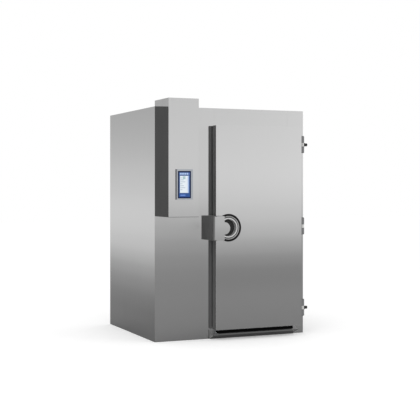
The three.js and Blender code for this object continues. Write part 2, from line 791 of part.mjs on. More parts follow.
// Finned coil in its drip tray, with the pipes that leave through the roof
function buildCoil() {
  const group = new THREE.Group();
  const x = [left + coilFromLeft, left + coilFromLeft + coilThickness];
  const y = [front + coilEndGap, back - coilEndGap];
  const trayX = [x[0] - trayMargin, x[1] + trayMargin];
  const trayY = [y[0] - trayMargin, y[1] + trayMargin];
  const coilFoot = floorThickness + traySheet + seam * 2;
  const block = [coilFoot + coilFootHeight, coilFoot + coilHeight];
  const plateX = [x[0] - endPlateMargin, x[1] + endPlateMargin];
  const fins = box(x, y, block);
  const plates = [
    box(plateX, [y[0] - endPlateThickness / 2, y[0] + endPlateThickness / 2], [coilFoot, block[1]]),
    box(plateX, [y[1] - endPlateThickness / 2, y[1] + endPlateThickness / 2], [coilFoot, block[1]]),
  ];
  const finPitch = (y[1] - y[0]) / (finGrooveCount + 1);
  const grooves = [];
  for (let count = 1; count <= finGrooveCount; count += 1) {
    const middle = y[0] + count * finPitch;
    const width = [middle - finPitch / 4, middle + finPitch / 4];
    const height = [block[0] - seam, block[1] - endPlateThickness];
    grooves.push(box([x[0] - seam, x[0] + finGrooveDepth], width, height));
    grooves.push(box([x[1] - finGrooveDepth, x[1] + seam], width, height));
  }
  add(group, "evaporator_coil", cut(join(fins, ...plates), ...grooves), finAluminium);

  const tray = box(trayX, trayY, [floorThickness + seam, floorThickness + trayHeight]);
  const hollow = box(
    [trayX[0] + traySheet, trayX[1] - traySheet],
    [trayY[0] + traySheet, trayY[1] - traySheet],
    [floorThickness + seam + traySheet, floorThickness + trayHeight + seam],
  );
  const spoutRod = rod(drainRadius, [trayY[1] - traySheet / 2, back + drainReach]);
  const spout = turned(spoutRod, 20).rotateX(-Math.PI / 2);
  spout.translate(coilMiddleX(), 0, drainHeight());
  const boreRadius = drainRadius - traySheet;
  const boreEnds = [trayY[1] - traySheet * 2, back + drainReach + seam];
  const bore = turned(rod(boreRadius, boreEnds), 20).rotateX(-Math.PI / 2);
  bore.translate(coilMiddleX(), 0, drainHeight());
  add(group, "drip_tray", cut(join(cut(tray, hollow), spout), bore), liningSteel);
  for (const { name, x: pipeX, y: pipeY, radius } of pipePlaces()) {
    const pipe = turned(rod(radius, [block[1] + seam, cabinetHeight + pipeRise]), 16);
    add(group, name, pipe, copper, pipeX, pipeY, 0);
  }
  const railY = [innerFront + railEndGap, innerBack - railEndGap];
  const rail = box([-railThickness, -seam], railY, [0, railHeight]);
  add(group, "bumper_rail", rail, liningSteel, innerRight, 0, floorThickness + railAboveFloor);
  return group;
}

// Hinged panel with three fans between the coil and the chamber
function buildFanPanel() {
  const group = new THREE.Group();
  const panelX = left + fanPanelFromLeft;
  const rodY = innerBack - panelRodFromWall;
  group.position.set(panelX, 0, 0);
  const halfPanel = fanPanelThickness / 2;
  const thickness = [-halfPanel, halfPanel];
  const postY = [innerFront + seam * 2, innerFront + landingPostDepth];
  const upright = [floorThickness + seam, ceiling - seam];
  add(group, "landing_post", box(thickness, postY, upright), liningSteel);

  const panelY = [postY[1] + runningGap, rodY - panelHingeGap];
  const panelZ = [floorThickness + fanPanelEndGap, ceiling - fanPanelEndGap];
  const middleY = (panelY[0] + panelY[1]) / 2;
  const middleZ = (panelZ[0] + panelZ[1]) / 2;
  const fanHeights = [];
  for (let count = 0; count < fanCount; count += 1) {
    fanHeights.push(middleZ + (count - (fanCount - 1) / 2) * fanPitch);
  }
  const hole = turnedAcross(rod(fanHoleRadius, [-fanPanelThickness, fanPanelThickness]), 32);
  const panelHoles = fanHeights.map((height) => hole.clone().translate(0, middleY, height));
  const knuckleFeet = [panelZ[0], middleZ - panelKnuckleHeight / 2, panelZ[1] - panelKnuckleHeight];
  const knuckleWeb = [-panelKnuckleRadius / 2, panelKnuckleRadius / 2];
  const knuckles = knuckleFeet.flatMap((foot) => [
    turned(rod(panelKnuckleRadius, [foot, foot + panelKnuckleHeight]), 20).translate(0, rodY, 0),
    box(knuckleWeb, [panelY[1] - seam, rodY], [foot, foot + panelKnuckleHeight]),
  ]);
  const rodBore = turned(rod(panelRodRadius + seam, upright), 20).translate(0, rodY, 0);
  const panel = cut(join(box(thickness, panelY, panelZ), ...knuckles), rodBore, ...panelHoles);
  add(group, "fan_panel", panel, liningSteel);

  const collarTop = panelZ[0] - seam;
  const hingeRod = turned([
    [0, upright[0]],
    [panelRodRadius, upright[0]],
    [panelRodRadius, collarTop - panelCollarHeight],
    [panelCollarRadius, collarTop - panelCollarHeight],
    [panelCollarRadius, collarTop],
    [panelRodRadius, collarTop],
    [panelRodRadius, upright[1]],
    [0, upright[1]],
  ], 20);
  add(group, "fan_panel_rod", hingeRod, castMetal, 0, rodY, 0);

  const guard = guardGeometry();
  const motor = motorGeometry();
  const impeller = impellerGeometry();
  fanHeights.forEach((height, index) => {
    add(group, `fan_guard_${index + 1}`, guard, steel, halfPanel + seam, middleY, height);
    add(group, `fan_motor_${index + 1}`, motor, plasticBlack, halfPanel + seam, middleY, height);
    add(group, `fan_impeller_${index + 1}`, impeller, finAluminium, 0, middleY, height);
  });
  return group;
}

// Guard basket: a flange on the panel, arms and wire rings, and a hub plate that carries the motor
function guardGeometry() {
  const outer = fanHoleRadius + guardRingWidth;
  const armRadius = fanHoleRadius + guardRingWidth / 2;
  const wireX = [guardStandOff, guardStandOff + guardWire];
  const wireZ = [-guardWire / 2, guardWire / 2];
  const legZ = [armRadius - guardWire / 2, armRadius + guardWire / 2];
  const pieces = [
    turnedAcross(ring(fanHoleRadius, outer, [0, guardRingThickness]), 24),
    turnedAcross(rod(guardHubRadius, [guardStandOff, guardStandOff + guardHubThickness]), 24),
  ];
  const ringGap = (armRadius - guardHubRadius) / (guardRingCount + 1);
  for (let count = 1; count <= guardRingCount; count += 1) {
    const radius = guardHubRadius + ringGap * count;
    pieces.push(turnedAcross(ring(radius - guardWire / 2, radius + guardWire / 2, wireX), 24));
  }
  for (let count = 0; count < guardArmCount; count += 1) {
    const angle = (Math.PI * 2 * count) / guardArmCount;
    const leg = box([guardRingThickness / 2, wireX[1]], legZ, wireZ);
    const arm = box(wireX, [guardHubRadius - guardWire, armRadius], wireZ);
    pieces.push(leg.rotateX(angle), arm.rotateX(angle));
  }
  return join(...pieces);
}

function motorGeometry() {
  const face = guardStandOff - seam;
  return turnedAcross([
    [0, -fanPanelThickness / 2 - seam],
    [shaftRadius, -fanPanelThickness / 2 - seam],
    [shaftRadius, face - motorLength],
    [motorRadius, face - motorLength],
    [motorRadius, face],
    [0, face],
  ], 24);
}

// Hub with twisted blades: a blade's outline has its root inside the hub and its tip on the fan's circle.
function impellerGeometry() {
  const hubEnds = [-fanHubLength / 2, fanHubLength / 2];
  const hub = turnedAcross(ring(shaftRadius + seam, fanHubRadius, hubEnds), 24);
  const blade = new THREE.Shape();
  const root = fanHubRadius - bladeThickness * 2;
  blade.moveTo(-bladeRootWidth / 2, root);
  blade.lineTo(bladeRootWidth / 2, root);
  const tipAngle = Math.asin(bladeTipWidth / 2 / fanRadius);
  blade.absarc(0, 0, fanRadius, Math.PI / 2 - tipAngle, Math.PI / 2 + tipAngle, false);
  const pieces = [hub];
  for (let count = 0; count < bladeCount; count += 1) {
    const plate = turn(extrude(blade, bladeThickness, 4), yAxis, zAxis, xAxis);
    plate.translate(-bladeThickness / 2, 0, 0).rotateZ(THREE.MathUtils.degToRad(bladeTwist));
    pieces.push(plate.rotateX((Math.PI * 2 * count) / bladeCount));
  }
  return join(...pieces);
}

const chiller = new THREE.Group();
chiller.add(buildCabinet());
chiller.add(buildDoorway());
chiller.add(buildColumn());
chiller.add(buildDoor());
chiller.add(buildHinges());
chiller.add(buildLatch());
chiller.add(buildRecess());
chiller.add(buildCoil());
chiller.add(buildFanPanel());

export default chiller;
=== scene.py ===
import json
import math
import bmesh
import bpy
from mathutils import Matrix, Vector


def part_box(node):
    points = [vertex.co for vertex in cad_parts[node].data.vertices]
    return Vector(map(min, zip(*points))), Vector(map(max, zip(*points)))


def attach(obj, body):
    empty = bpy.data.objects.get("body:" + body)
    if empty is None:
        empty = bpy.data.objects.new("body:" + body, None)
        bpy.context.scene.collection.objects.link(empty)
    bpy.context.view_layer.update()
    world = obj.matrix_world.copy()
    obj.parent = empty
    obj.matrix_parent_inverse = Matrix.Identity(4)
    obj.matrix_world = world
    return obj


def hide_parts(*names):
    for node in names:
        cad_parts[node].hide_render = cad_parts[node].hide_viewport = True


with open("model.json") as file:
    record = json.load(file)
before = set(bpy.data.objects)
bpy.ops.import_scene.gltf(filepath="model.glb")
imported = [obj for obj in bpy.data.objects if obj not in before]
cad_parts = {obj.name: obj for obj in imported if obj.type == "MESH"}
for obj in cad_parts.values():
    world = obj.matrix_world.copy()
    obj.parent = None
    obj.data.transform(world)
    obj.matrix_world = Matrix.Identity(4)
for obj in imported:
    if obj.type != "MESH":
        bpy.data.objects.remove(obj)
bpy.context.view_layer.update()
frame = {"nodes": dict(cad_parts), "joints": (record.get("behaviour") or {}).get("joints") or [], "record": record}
nodes = frame["nodes"]
joints = {joint["name"]: joint for joint in frame["joints"]}
bodies = frame["record"]["behaviour"]["bodies"]
bodyOf = {node: body for body, names in bodies.items() for node in names}
slotOf = {part["node"]: part["material_slot"] for part in frame["record"]["subparts"]}

mm = 0.001
weld = 0.002 * mm  # corners nearer than this are one corner
onPlane = 0.001 * mm  # corners nearer than this to a cutting plane lie on it
flatAngle = 0.5  # faces that meet at fewer degrees are one flat face


def linearColour(hexText):  # sRGB hex to the linear values that a shader socket takes
    parts = [int(hexText[i:i + 2], 16) / 255 for i in (1, 3, 5)]
    return [c / 12.92 if c <= 0.04045 else ((c + 0.055) / 1.055) ** 2.4 for c in parts] + [1.0]


def addNode(tree, kind, settings=None, inputs=None, links=None):
    # settings are node properties, inputs are socket values, links go from socket to (node, output)
    node = tree.nodes.new(kind)
    for key, value in (settings or {}).items():
        setattr(node, key, value)
    for key, value in (inputs or {}).items():
        node.inputs[key].default_value = value
    for key, (source, output) in (links or {}).items():
        tree.links.new(source.outputs[output], node.inputs[key])
    return node


def startMaterial(name, inputs):  # a Principled surface with its output, the sockets as given
    material = bpy.data.materials.new(name)
    material.use_nodes = True
    tree = material.node_tree
    tree.nodes.clear()
    shader = addNode(tree, "ShaderNodeBsdfPrincipled", inputs=inputs)
    addNode(tree, "ShaderNodeOutputMaterial", links={"Surface": (shader, "BSDF")})
    material.diffuse_color = inputs["Base Color"]
    return material, tree, shader


# camera: eye height 1.48 m, about 10 m away, turned 23.6 degrees, upright, so verticals stay vertical
view = {"place": (-4.073, -9.482, 1.480), "turn": -23.6, "lens": 84.9, "sensor": 36.0, "shift": -24 / 420,
        "farthest": 200}


def makeCamera():
    data = bpy.data.cameras.new("camera")
    data.lens = view["lens"]
    data.sensor_width = view["sensor"]
    data.shift_y = view["shift"]
    data.clip_end = view["farthest"]
    camera = bpy.data.objects.new("camera", data)
    camera.location = view["place"]
    camera.rotation_euler = (math.radians(90), 0, math.radians(view["turn"]))
    bpy.context.scene.collection.objects.link(camera)
    bpy.context.scene.camera = camera


studio = {"skySoft": 0.80, "floorColour": "#f4f4f4", "floorLift": 0.29, "floorSize": 60.0,
          "keyPower": 170, "keySize": 5.0, "keyPlace": (-4.5, -7.0, 6.5),
          "fillPower": 50, "fillSize": 5.0, "fillPlace": (6.5, -5.5, 4.0), "aim": (0, -0.3, 1.1)}


def seenDirectly(tree):  # 1 on rays that show the backdrop itself or its mirror image, 0 on soft light
    ray = addNode(tree, "ShaderNodeLightPath")
    mirror = addNode(tree, "ShaderNodeMath", {"operation": "MAXIMUM"},
                     links={0: (ray, "Is Camera Ray"), 1: (ray, "Is Glossy Ray")})
    return addNode(tree, "ShaderNodeMath", {"operation": "MAXIMUM"},
                   links={0: (mirror, 0), 1: (ray, "Is Transmission Ray")})


def makeWorld():
    world = bpy.data.worlds.new("white studio")
    world.use_nodes = True
    tree = world.node_tree
    tree.nodes.clear()
    seen = seenDirectly(tree)
    strength = addNode(tree, "ShaderNodeMath", {"operation": "MULTIPLY_ADD"},
                       {1: 1 - studio["skySoft"], 2: studio["skySoft"]}, {0: (seen, 0)})
    sky = addNode(tree, "ShaderNodeBackground", inputs={"Color": [1, 1, 1, 1]},
                  links={"Strength": (strength, 0)})
    addNode(tree, "ShaderNodeOutputWorld", links={"Surface": (sky, 0)})
    bpy.context.scene.world = world


def makeFloor():
    bm = bmesh.new()
    bmesh.ops.create_grid(bm, x_segments=1, y_segments=1, size=studio["floorSize"] / 2)
    mesh = bpy.data.meshes.new("floor")
    bm.to_mesh(mesh)
    bm.free()
    floor = bpy.data.objects.new("floor", mesh)
    bpy.context.scene.collection.objects.link(floor)
    material = bpy.data.materials.new("matt white paper floor")
    material.use_nodes = True
    tree = material.node_tree
    tree.nodes.clear()
    paper = addNode(tree, "ShaderNodeBsdfDiffuse", inputs={"Color": linearColour(studio["floorColour"])})
    seen = seenDirectly(tree)
    lift = addNode(tree, "ShaderNodeMath", {"operation": "MULTIPLY"}, {1: studio["floorLift"]},
                   {0: (seen, 0)})
    glow = addNode(tree, "ShaderNodeEmission", links={"Strength": (lift, 0)})
    both = addNode(tree, "ShaderNodeAddShader", links={0: (paper, 0), 1: (glow, 0)})
    addNode(tree, "ShaderNodeOutputMaterial", links={"Surface": (both, 0)})
    mesh.materials.append(material)


def makeLamp(name, place, size, power):  # a large soft box that points at the middle of the cabinet
    data = bpy.data.lights.new(name, "AREA")
    data.energy = power
    data.size = size
    lamp = bpy.data.objects.new(name, data)
    lamp.location = place
    aim = Vector(studio["aim"]) - Vector(place)
    lamp.rotation_euler = aim.to_track_quat("-Z", "Y").to_euler()
    bpy.context.scene.collection.objects.link(lamp)


makeCamera()
makeWorld()
makeFloor()
makeLamp("key light", studio["keyPlace"], studio["keySize"], studio["keyPower"])
makeLamp("fill light", studio["fillPlace"], studio["fillSize"], studio["fillPower"])
bpy.context.scene.view_settings.view_transform = "Standard"
print("camera, floor and light made")


# brushed stainless 304: its greys by height are painted reflection and shade, bright at eye height and
# dim near the floor, softened by the grain; each stop is a height in mm and the grey there
steel = {"front": [(0, "#757575"), (120, "#797979"), (330, "#7b7b7b"), (560, "#7d7d7d"), (700, "#828282"),
                   (830, "#8a8a8a"), (980, "#989898"), (1130, "#a6a6a6"), (1280, "#b1b1b1"),
                   (1450, "#bdbdbd"), (1750, "#c1c1c1"), (2240, "#bebebe")],
         "side": [(0, "#474747"), (150, "#4e4e4e"), (300, "#555555"), (450, "#686868"), (600, "#808080"),
                  (720, "#979797"), (850, "#afafaf"), (1000, "#bcbcbc"), (1180, "#c3c3c3"), (1400, "#bfbfbf"),
                  (1750, "#b1b1b1"), (2240, "#9e9e9e")],
         "door": [(0, "#777777"), (200, "#797979"), (420, "#7b7b7b"), (600, "#797979"), (710, "#7f7f7f"),
                  (830, "#8f8f8f"), (980, "#a4a4a4"), (1130, "#b3b3b3"), (1300, "#bdbdbd"), (1550, "#c5c5c5"),
                  (1900, "#c3c3c3"), (2240, "#bfbfbf")],
         "lever": [(0, "#6f6f6f"), (950, "#8f8f8f"), (1081, "#a4a4a4"), (1200, "#b0b0b0"), (2240, "#c0c0c0")],
         "height": 2300.0, "streak": 5.0, "streakLength": 420.0, "streakDepth": 0.006,
         "roughness": 0.36, "roughLess": 0.03, "roughMore": 0.04}
noiseSpan = {"From Min": 0.3, "From Max": 0.7}  # nearly all values of a noise texture lie between these


def steelStreaks(tree, point):  # upright grain, in 5 mm streaks because its true 0.1 mm lines can't show
    across, along = 1 / (steel["streak"] * mm), 1 / (steel["streakLength"] * mm)
    stretch = addNode(tree, "ShaderNodeMapping", inputs={"Scale": [across, across, along]},
                      links={"Vector": (point, "Object")})
    return addNode(tree, "ShaderNodeTexNoise", inputs={"Scale": 1.0, "Detail": 3.0, "Roughness": 0.6},
                   links={"Vector": (stretch, "Vector")})


def roughenByGrain(tree, shader, grain, low, high):
    rough = addNode(tree, "ShaderNodeMapRange", inputs={**noiseSpan, "To Min": low, "To Max": high},
                    links={"Value": (grain, 0)})
    tree.links.new(rough.outputs["Result"], shader.inputs["Roughness"])


def colourByTone(tree, shader, hexText, tone):  # one even colour, made lighter and darker by the tone node
    flat = addNode(tree, "ShaderNodeCombineColor", inputs=dict(enumerate(linearColour(hexText)[:3])))
    colour = addNode(tree, "ShaderNodeVectorMath", {"operation": "SCALE"},
                     links={0: (flat, 0), "Scale": (tone, 0)})
    tree.links.new(colour.outputs[0], shader.inputs["Base Color"])


def brushedSteelWithPaintedShading(name, stops):
    middleGrey = linearColour(stops[len(stops) // 2][1])
    material, tree, shader = startMaterial(name, {"Metallic": 1.0, "Base Color": middleGrey})
    point = addNode(tree, "ShaderNodeTexCoord")
    axes = addNode(tree, "ShaderNodeSeparateXYZ", links={"Vector": (point, "Object")})
    share = addNode(tree, "ShaderNodeMapRange", inputs={"From Max": steel["height"] * mm},
                    links={"Value": (axes, "Z")})
    # this ramp of greys by height is painted reflection and shade
    paintedShadingRamp = addNode(tree, "ShaderNodeValToRGB", links={"Fac": (share, "Result")})
    paintedShadingRamp.color_ramp.interpolation = "CARDINAL"
    while len(paintedShadingRamp.color_ramp.elements) < len(stops):
        paintedShadingRamp.color_ramp.elements.new(0.5)
    for element, (height, grey) in zip(paintedShadingRamp.color_ramp.elements, stops):
        element.position = height / steel["height"]
        element.color = linearColour(grey)
    grain = steelStreaks(tree, point)
    depth, roughness = steel["streakDepth"], steel["roughness"]
    tone = addNode(tree, "ShaderNodeMapRange", inputs={**noiseSpan, "To Min": 1 - depth, "To Max": 1 + depth},
                   links={"Value": (grain, 0)})
    colour = addNode(tree, "ShaderNodeVectorMath", {"operation": "SCALE"},
                     links={0: (paintedShadingRamp, "Color"), "Scale": (tone, "Result")})
    tree.links.new(colour.outputs[0], shader.inputs["Base Color"])
    roughenByGrain(tree, shader, grain, roughness - steel["roughLess"], roughness + steel["roughMore"])
    return material


# evenly lit metal: inner sheets, wire, castings, fittings; the grain makes it a little lighter and duller
metal = {"toneLow": 0.97, "toneHigh": 1.02, "roughSpread": 0.02}


def plainSteel(name, hexText, roughness, grainSize):
    material, tree, shader = startMaterial(name, {"Metallic": 1.0, "Base Color": linearColour(hexText)})
    point = addNode(tree, "ShaderNodeTexCoord")
    grain = addNode(tree, "ShaderNodeTexNoise", inputs={"Scale": 1 / (grainSize * mm), "Detail": 4.0},
                    links={"Vector": (point, "Object")})
    tone = addNode(tree, "ShaderNodeMapRange",
                   inputs={**noiseSpan, "To Min": metal["toneLow"], "To Max": metal["toneHigh"]},
                   links={"Value": (grain, 0)})
    colourByTone(tree, shader, hexText, tone)
    roughenByGrain(tree, shader, grain, roughness - metal["roughSpread"], roughness + metal["roughSpread"])
    return material


# paint, plastic and rubber: an even colour, a slight mottle, and a bump of the real grain size; the last two
# heights in m bound a painted reflection of the white floor, full at the lower one, gone at the upper one
coating = {"mottleSize": 250.0, "mottle": 0.08, "roughLess": 0.05, "roughMore": 0.06, "bump": 0.4,
           "paintedFloorLightFoot": 0.45, "paintedFloorLightTop": 1.15}


def grainedSurface(name, hexText, roughness, grainSize, depth, coat=0.0, shine=0.5, lift=0.0):
    # grainSize and depth in mm; lift is how much a painted reflection of the white floor lightens it from chest
    # height down
    material, tree, shader = startMaterial(name, {"Base Color": linearColour(hexText), "Coat Weight": coat,
                                                  "Specular IOR Level": shine})
    point = addNode(tree, "ShaderNodeTexCoord")
    grain = addNode(tree, "ShaderNodeTexNoise", inputs={"Scale": 1 / (grainSize * mm), "Detail": 3.0},
                    links={"Vector": (point, "Object")})
    cloud = addNode(tree, "ShaderNodeTexNoise",
                    inputs={"Scale": 1 / (coating["mottleSize"] * mm), "Detail": 2.0},
                    links={"Vector": (point, "Object")})
    tone = addNode(tree, "ShaderNodeMapRange",
                   inputs={**noiseSpan, "To Min": 1 - coating["mottle"], "To Max": 1 + coating["mottle"]},
                   links={"Value": (cloud, 0)})
    # painted reflection of the white floor: lighter towards the bottom
    if lift:
        axes = addNode(tree, "ShaderNodeSeparateXYZ", links={"Vector": (point, "Object")})
        low = addNode(tree, "ShaderNodeMapRange",
                      inputs={"From Min": coating["paintedFloorLightFoot"], "From Max": coating["paintedFloorLightTop"],
                              "To Min": 1 + lift, "To Max": 1.0}, links={"Value": (axes, "Z")})
        tone = addNode(tree, "ShaderNodeMath", {"operation": "MULTIPLY"}, links={0: (tone, 0), 1: (low, 0)})
    colourByTone(tree, shader, hexText, tone)
    roughenByGrain(tree, shader, grain, roughness - coating["roughLess"], roughness + coating["roughMore"])
    bump = addNode(tree, "ShaderNodeBump", inputs={"Strength": coating["bump"], "Distance": depth * mm},
                   links={"Height": (grain, 0)})
    tree.links.new(bump.outputs["Normal"], shader.inputs["Normal"])
    return material


frontSteelPaintedShading = brushedSteelWithPaintedShading("brushed stainless front, painted shading", steel["front"])  # satin, painted shading by height: bright at eye height, dim below
sideSteelPaintedShading = brushedSteelWithPaintedShading("brushed stainless side, painted shading", steel["side"])  # the sides' own copy of the painted shading: brightest at 1.2 m
doorSteelPaintedShading = brushedSteelWithPaintedShading("brushed stainless door, painted shading", steel["door"])  # painted shading by height, a little brighter than the fixed front
leverSteelPaintedShading = brushedSteelWithPaintedShading("satin lever plate, painted shading", steel["lever"])  # painted shading by height as the door, slightly duller

liningSteel = plainSteel("pressed lining stainless", "#c2c4c6", 0.34, 30.0)  # smooth, pale, lightly clouded
roofSteel = plainSteel("rolled roof sheet stainless", "#bdbebf", 0.36, 25.0)  # even, as it faces the sky
treadPaintedShade = plainSteel("stainless tread sheet, painted shade", "#4a4a4a", 0.42, 18.0)  # dark: painted reflection of the door's underside and painted shade under the door
treadEndPaintedLight = plainSteel("stainless tread end, painted light", "#d2d2d2", 0.36, 18.0)  # bright: painted reflection of the lit front
treadLipPaintedShade = plainSteel("stainless tread lip, painted shade", "#5f5f5f", 0.36, 18.0)  # painted shading of the fold, a little brighter than the tread
wireSteel = plainSteel("drawn stainless wire", "#c8cacc", 0.24, 3.0)  # shinier than sheet
castSteel = plainSteel("cast hinge alloy", "#747475", 0.46, 2.5)  # mid grey, slightly sandy
barrelSteel = plainSteel("shaded satin steel", "#6e6e6e", 0.34, 12.0)  # a rolled edge facing the dim side
ringSteel = plainSteel("turned stainless ring", "#9c9c9c", 0.30, 14.0)  # soft turned lustre
lipSteel = plainSteel("polished stainless lip", "#c2c2c2", 0.26, 14.0)  # brighter than the ring round it
grooveSteel = plainSteel("shaded turned groove", "#505050", 0.40, 10.0)  # the step between lip and ring
paintedHighlightEdge = plainSteel("steel edge with painted highlight", "#f0f0f0", 0.22, 20.0)  # painted highlight for rolled edges
copper = plainSteel("drawn copper tube", "#c8906c", 0.30, 6.0)  # warm, lightly dulled
finAluminium = plainSteel("thin rolled aluminium", "#cfd1d3", 0.30, 4.0)  # bright, soft

# even dark grey, with a painted reflection of the white floor that lightens it low down
darkProfile = grainedSurface("dark extruded PVC profile", "#4e4e4e", 0.50, 1.2, 0.05, shine=0.3, lift=0.40)
darkCoat = grainedSurface("dark powder coat", "#494949", 0.52, 1.0, 0.08)  # fine orange peel
cheekCoat = grainedSurface("matt dark powder coat", "#363636", 0.60, 1.0, 0.08, shine=0.15)  # duller
greySheet = grainedSurface("grey satin painted sheet", "#9c9c9c", 0.42, 1.5, 0.04)  # light grey, soft sheen
bezelFace = grainedSurface("light grey moulded ABS", "#a3a7ad", 0.48, 0.8, 0.03)  # pale moulded frame
bezelSide = grainedSurface("shaded grey moulded ABS", "#606064", 0.55, 0.8, 0.03)  # that frame's darker flank
bushNylon = grainedSurface("pale nylon cam bush", "#d6d6d4", 0.45, 1.0, 0.02)  # light, between dark leaves
rubber = grainedSurface("matt black EPDM rubber", "#1b1b1b", 0.75, 0.8, 0.05)  # dull black
sweepRubberPaintedShade = grainedSurface("wiping EPDM lip, painted shade", "#050505", 0.85, 0.8, 0.05, shine=0.05)  # black rubber, darkened further by painted shade under the door
gasketRubber = grainedSurface("black bellows gasket", "#0e0e0e", 0.80, 0.8, 0.05, shine=0.12)  # a dark line
rimRubber = grainedSurface("black rim rubber", "#101010", 0.6, 0.8, 0.03, shine=0.15)  # deep black ring
cupBottom = grainedSurface("dark moulded cup", "#242424", 0.5, 1.0, 0.04, shine=0.2)  # shaded hollow
cupWall = grainedSurface("lit wall of the moulded cup", "#a5a5a5", 0.45, 1.0, 0.04)  # the same, in the light
blackPlastic = grainedSurface("black moulded nylon", "#2a2b2c", 0.48, 0.9, 0.04)  # dull sheen
boardGreen = grainedSurface("green solder mask board", "#1f6b45", 0.35, 2.0, 0.02, coat=0.4)  # glossy lacquer
print("materials made:", len(bpy.data.materials))

lookOf = {"brushed_stainless": frontSteelPaintedShading, "lining_stainless": liningSteel, "dark_profile": darkProfile,
          "dark_coated_steel": darkCoat, "grey_sheet": greySheet, "bezel_grey": bezelFace,
          "screen_glass": blackPlastic, "black_rubber": rubber, "cast_metal": castSteel,
          "copper_pipe": copper, "fin_aluminium": finAluminium, "circuit_board": boardGreen,
          "black_plastic": blackPlastic}


def copyNode(nodeName):  # a CAD node's mesh with its loose triangles joined into whole faces
    bm = bmesh.new()
    bm.from_mesh(nodes[nodeName].data)
    bmesh.ops.remove_doubles(bm, verts=bm.verts, dist=weld)
    bmesh.ops.dissolve_limit(bm, angle_limit=math.radians(flatAngle), verts=bm.verts, edges=bm.edges)
    return bm


def softenEdges(bm, width, angle=28.0, segments=2, keep=None):  # width in mm, on edges sharper than angle
    sharp = [e for e in bm.edges if len(e.link_faces) == 2 and e.calc_face_angle(0) > math.radians(angle)
             and (keep is None or keep(e))]
    if sharp:
        bmesh.ops.bevel(bm, geom=sharp, offset=width * mm, offset_type="OFFSET", affect="EDGES",
                        segments=segments, profile=0.5, material=-1, clamp_overlap=True)


def finishPiece(bm, name, body, materials, replaced=(), pick=None, smooth=35.0, mirrored=True):
    # pick gives a face its material's number; edges sharper than smooth degrees stay crisp, and 0 is all flat
    bmesh.ops.remove_doubles(bm, verts=bm.verts, dist=weld)
    if pick:
        bm.normal_update()
        for face in bm.faces:
            face.material_index = pick(face)
    for face in bm.faces:
        face.smooth = smooth > 0
    mesh = bpy.data.meshes.new(name)
    bm.to_mesh(mesh)
    bm.free()
    for material in materials:
        mesh.materials.append(material)
    piece = bpy.data.objects.new(name, mesh)
    bpy.context.scene.collection.objects.link(piece)
    if smooth > 0:
        mesh.set_sharp_from_angle(angle=math.radians(smooth))
        level = piece.modifiers.new("even normals", "WEIGHTED_NORMAL")
        level.keep_sharp = True
        level.weight = 80  # larger faces count more
    piece.visible_glossy = mirrored  # satin sheet is too rough to mirror what stands out in front of it
    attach(piece, body)
    if replaced:
        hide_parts(*replaced)


def softened(nodeName, width, materials=None, pick=None, segments=2, smooth=50.0, mirrored=True, shape=None,
             keep=None):
    # a CAD piece with its edges rounded by width mm, all or those that keep names; shape may cut it first
    bm = copyNode(nodeName)
    if shape:
        shape(bm)
    softenEdges(bm, width, segments=segments, keep=keep)
    slot = slotOf[nodeName]
    finishPiece(bm, nodeName + "_finished", bodyOf[nodeName], materials or [lookOf[slot]], [nodeName],
                pick, smooth, mirrored)


def place(x, y, z):  # a point given in mm
    return Vector((x * mm, y * mm, z * mm))


def paintCorners(verts, index):  # every face at these corners takes the material's number
    for vert in verts:
        for face in vert.link_faces:
            face.material_index = index


def paintShell(bm, verts, index):  # the same for the whole shell that they are on, its faces turned outwards
    found = {f for v in verts if v.is_valid for f in v.link_faces}
    grow = list(found)
    while grow:
        face = grow.pop()
        face.material_index = index
        for other in (f for edge in face.edges for f in edge.link_faces if f not in found):
            found.add(other)
            grow.append(other)
    bmesh.ops.recalc_face_normals(bm, faces=list(found))


def addBox(bm, low, high, index=0):  # corners in mm
    centre = (place(*low) + place(*high)) / 2
    span = place(*high) - place(*low)
    spot = Matrix.Translation(centre) @ Matrix.Diagonal((*span, 1.0))
    made = bmesh.ops.create_cube(bm, size=1.0, matrix=spot)
    paintCorners(made["verts"], index)


def addRod(bm, start, end, radius, index=0, segments=24):  # a round bar between two points in mm
    axis = place(*end) - place(*start)
    middle = (place(*start) + place(*end)) / 2
    turn = axis.to_track_quat("Z", "Y").to_matrix().to_4x4()
    made = bmesh.ops.create_cone(bm, cap_ends=True, segments=segments, radius1=radius * mm,
                                 radius2=radius * mm, depth=axis.length,
                                 matrix=Matrix.Translation(middle) @ turn)
    paintCorners(made["verts"], index)


def addHoop(bm, centre, radius, wire, axis, index=0, steps=64, sides=8):  # a wire bent into a closed ring
    axis = Vector(axis).normalized()
    sideways = axis.orthogonal().normalized()
    turn = Matrix((sideways, axis, sideways.cross(axis))).transposed().to_4x4()
    spot = Matrix.Translation(place(*centre) + sideways * radius * mm)
    made = bmesh.ops.create_circle(bm, segments=sides, radius=wire / 2 * mm, matrix=spot @ turn)
    edges = list({e for v in made["verts"] for e in v.link_edges})
    bmesh.ops.spin(bm, geom=made["verts"] + edges, cent=place(*centre), axis=axis, angle=math.tau,
                   steps=steps, use_merge=True, use_duplicate=False)
    paintShell(bm, made["verts"], index)


def addLathe(bm, profile, centre, axis, index=0, steps=48):  # profile of (radius, along) in mm, round an axis
    axis = Vector(axis).normalized()
    sideways = axis.orthogonal().normalized()
    verts = [bm.verts.new(place(*centre) + sideways * radius * mm + axis * along * mm)
             for radius, along in profile]
    edges = [bm.edges.new(pair) for pair in zip(verts, verts[1:])]
    bmesh.ops.spin(bm, geom=verts + edges, cent=place(*centre), axis=axis, angle=math.tau, steps=steps,
                   use_merge=True, use_duplicate=False)
    bmesh.ops.remove_doubles(bm, verts=bm.verts, dist=weld)
    paintShell(bm, verts, index)


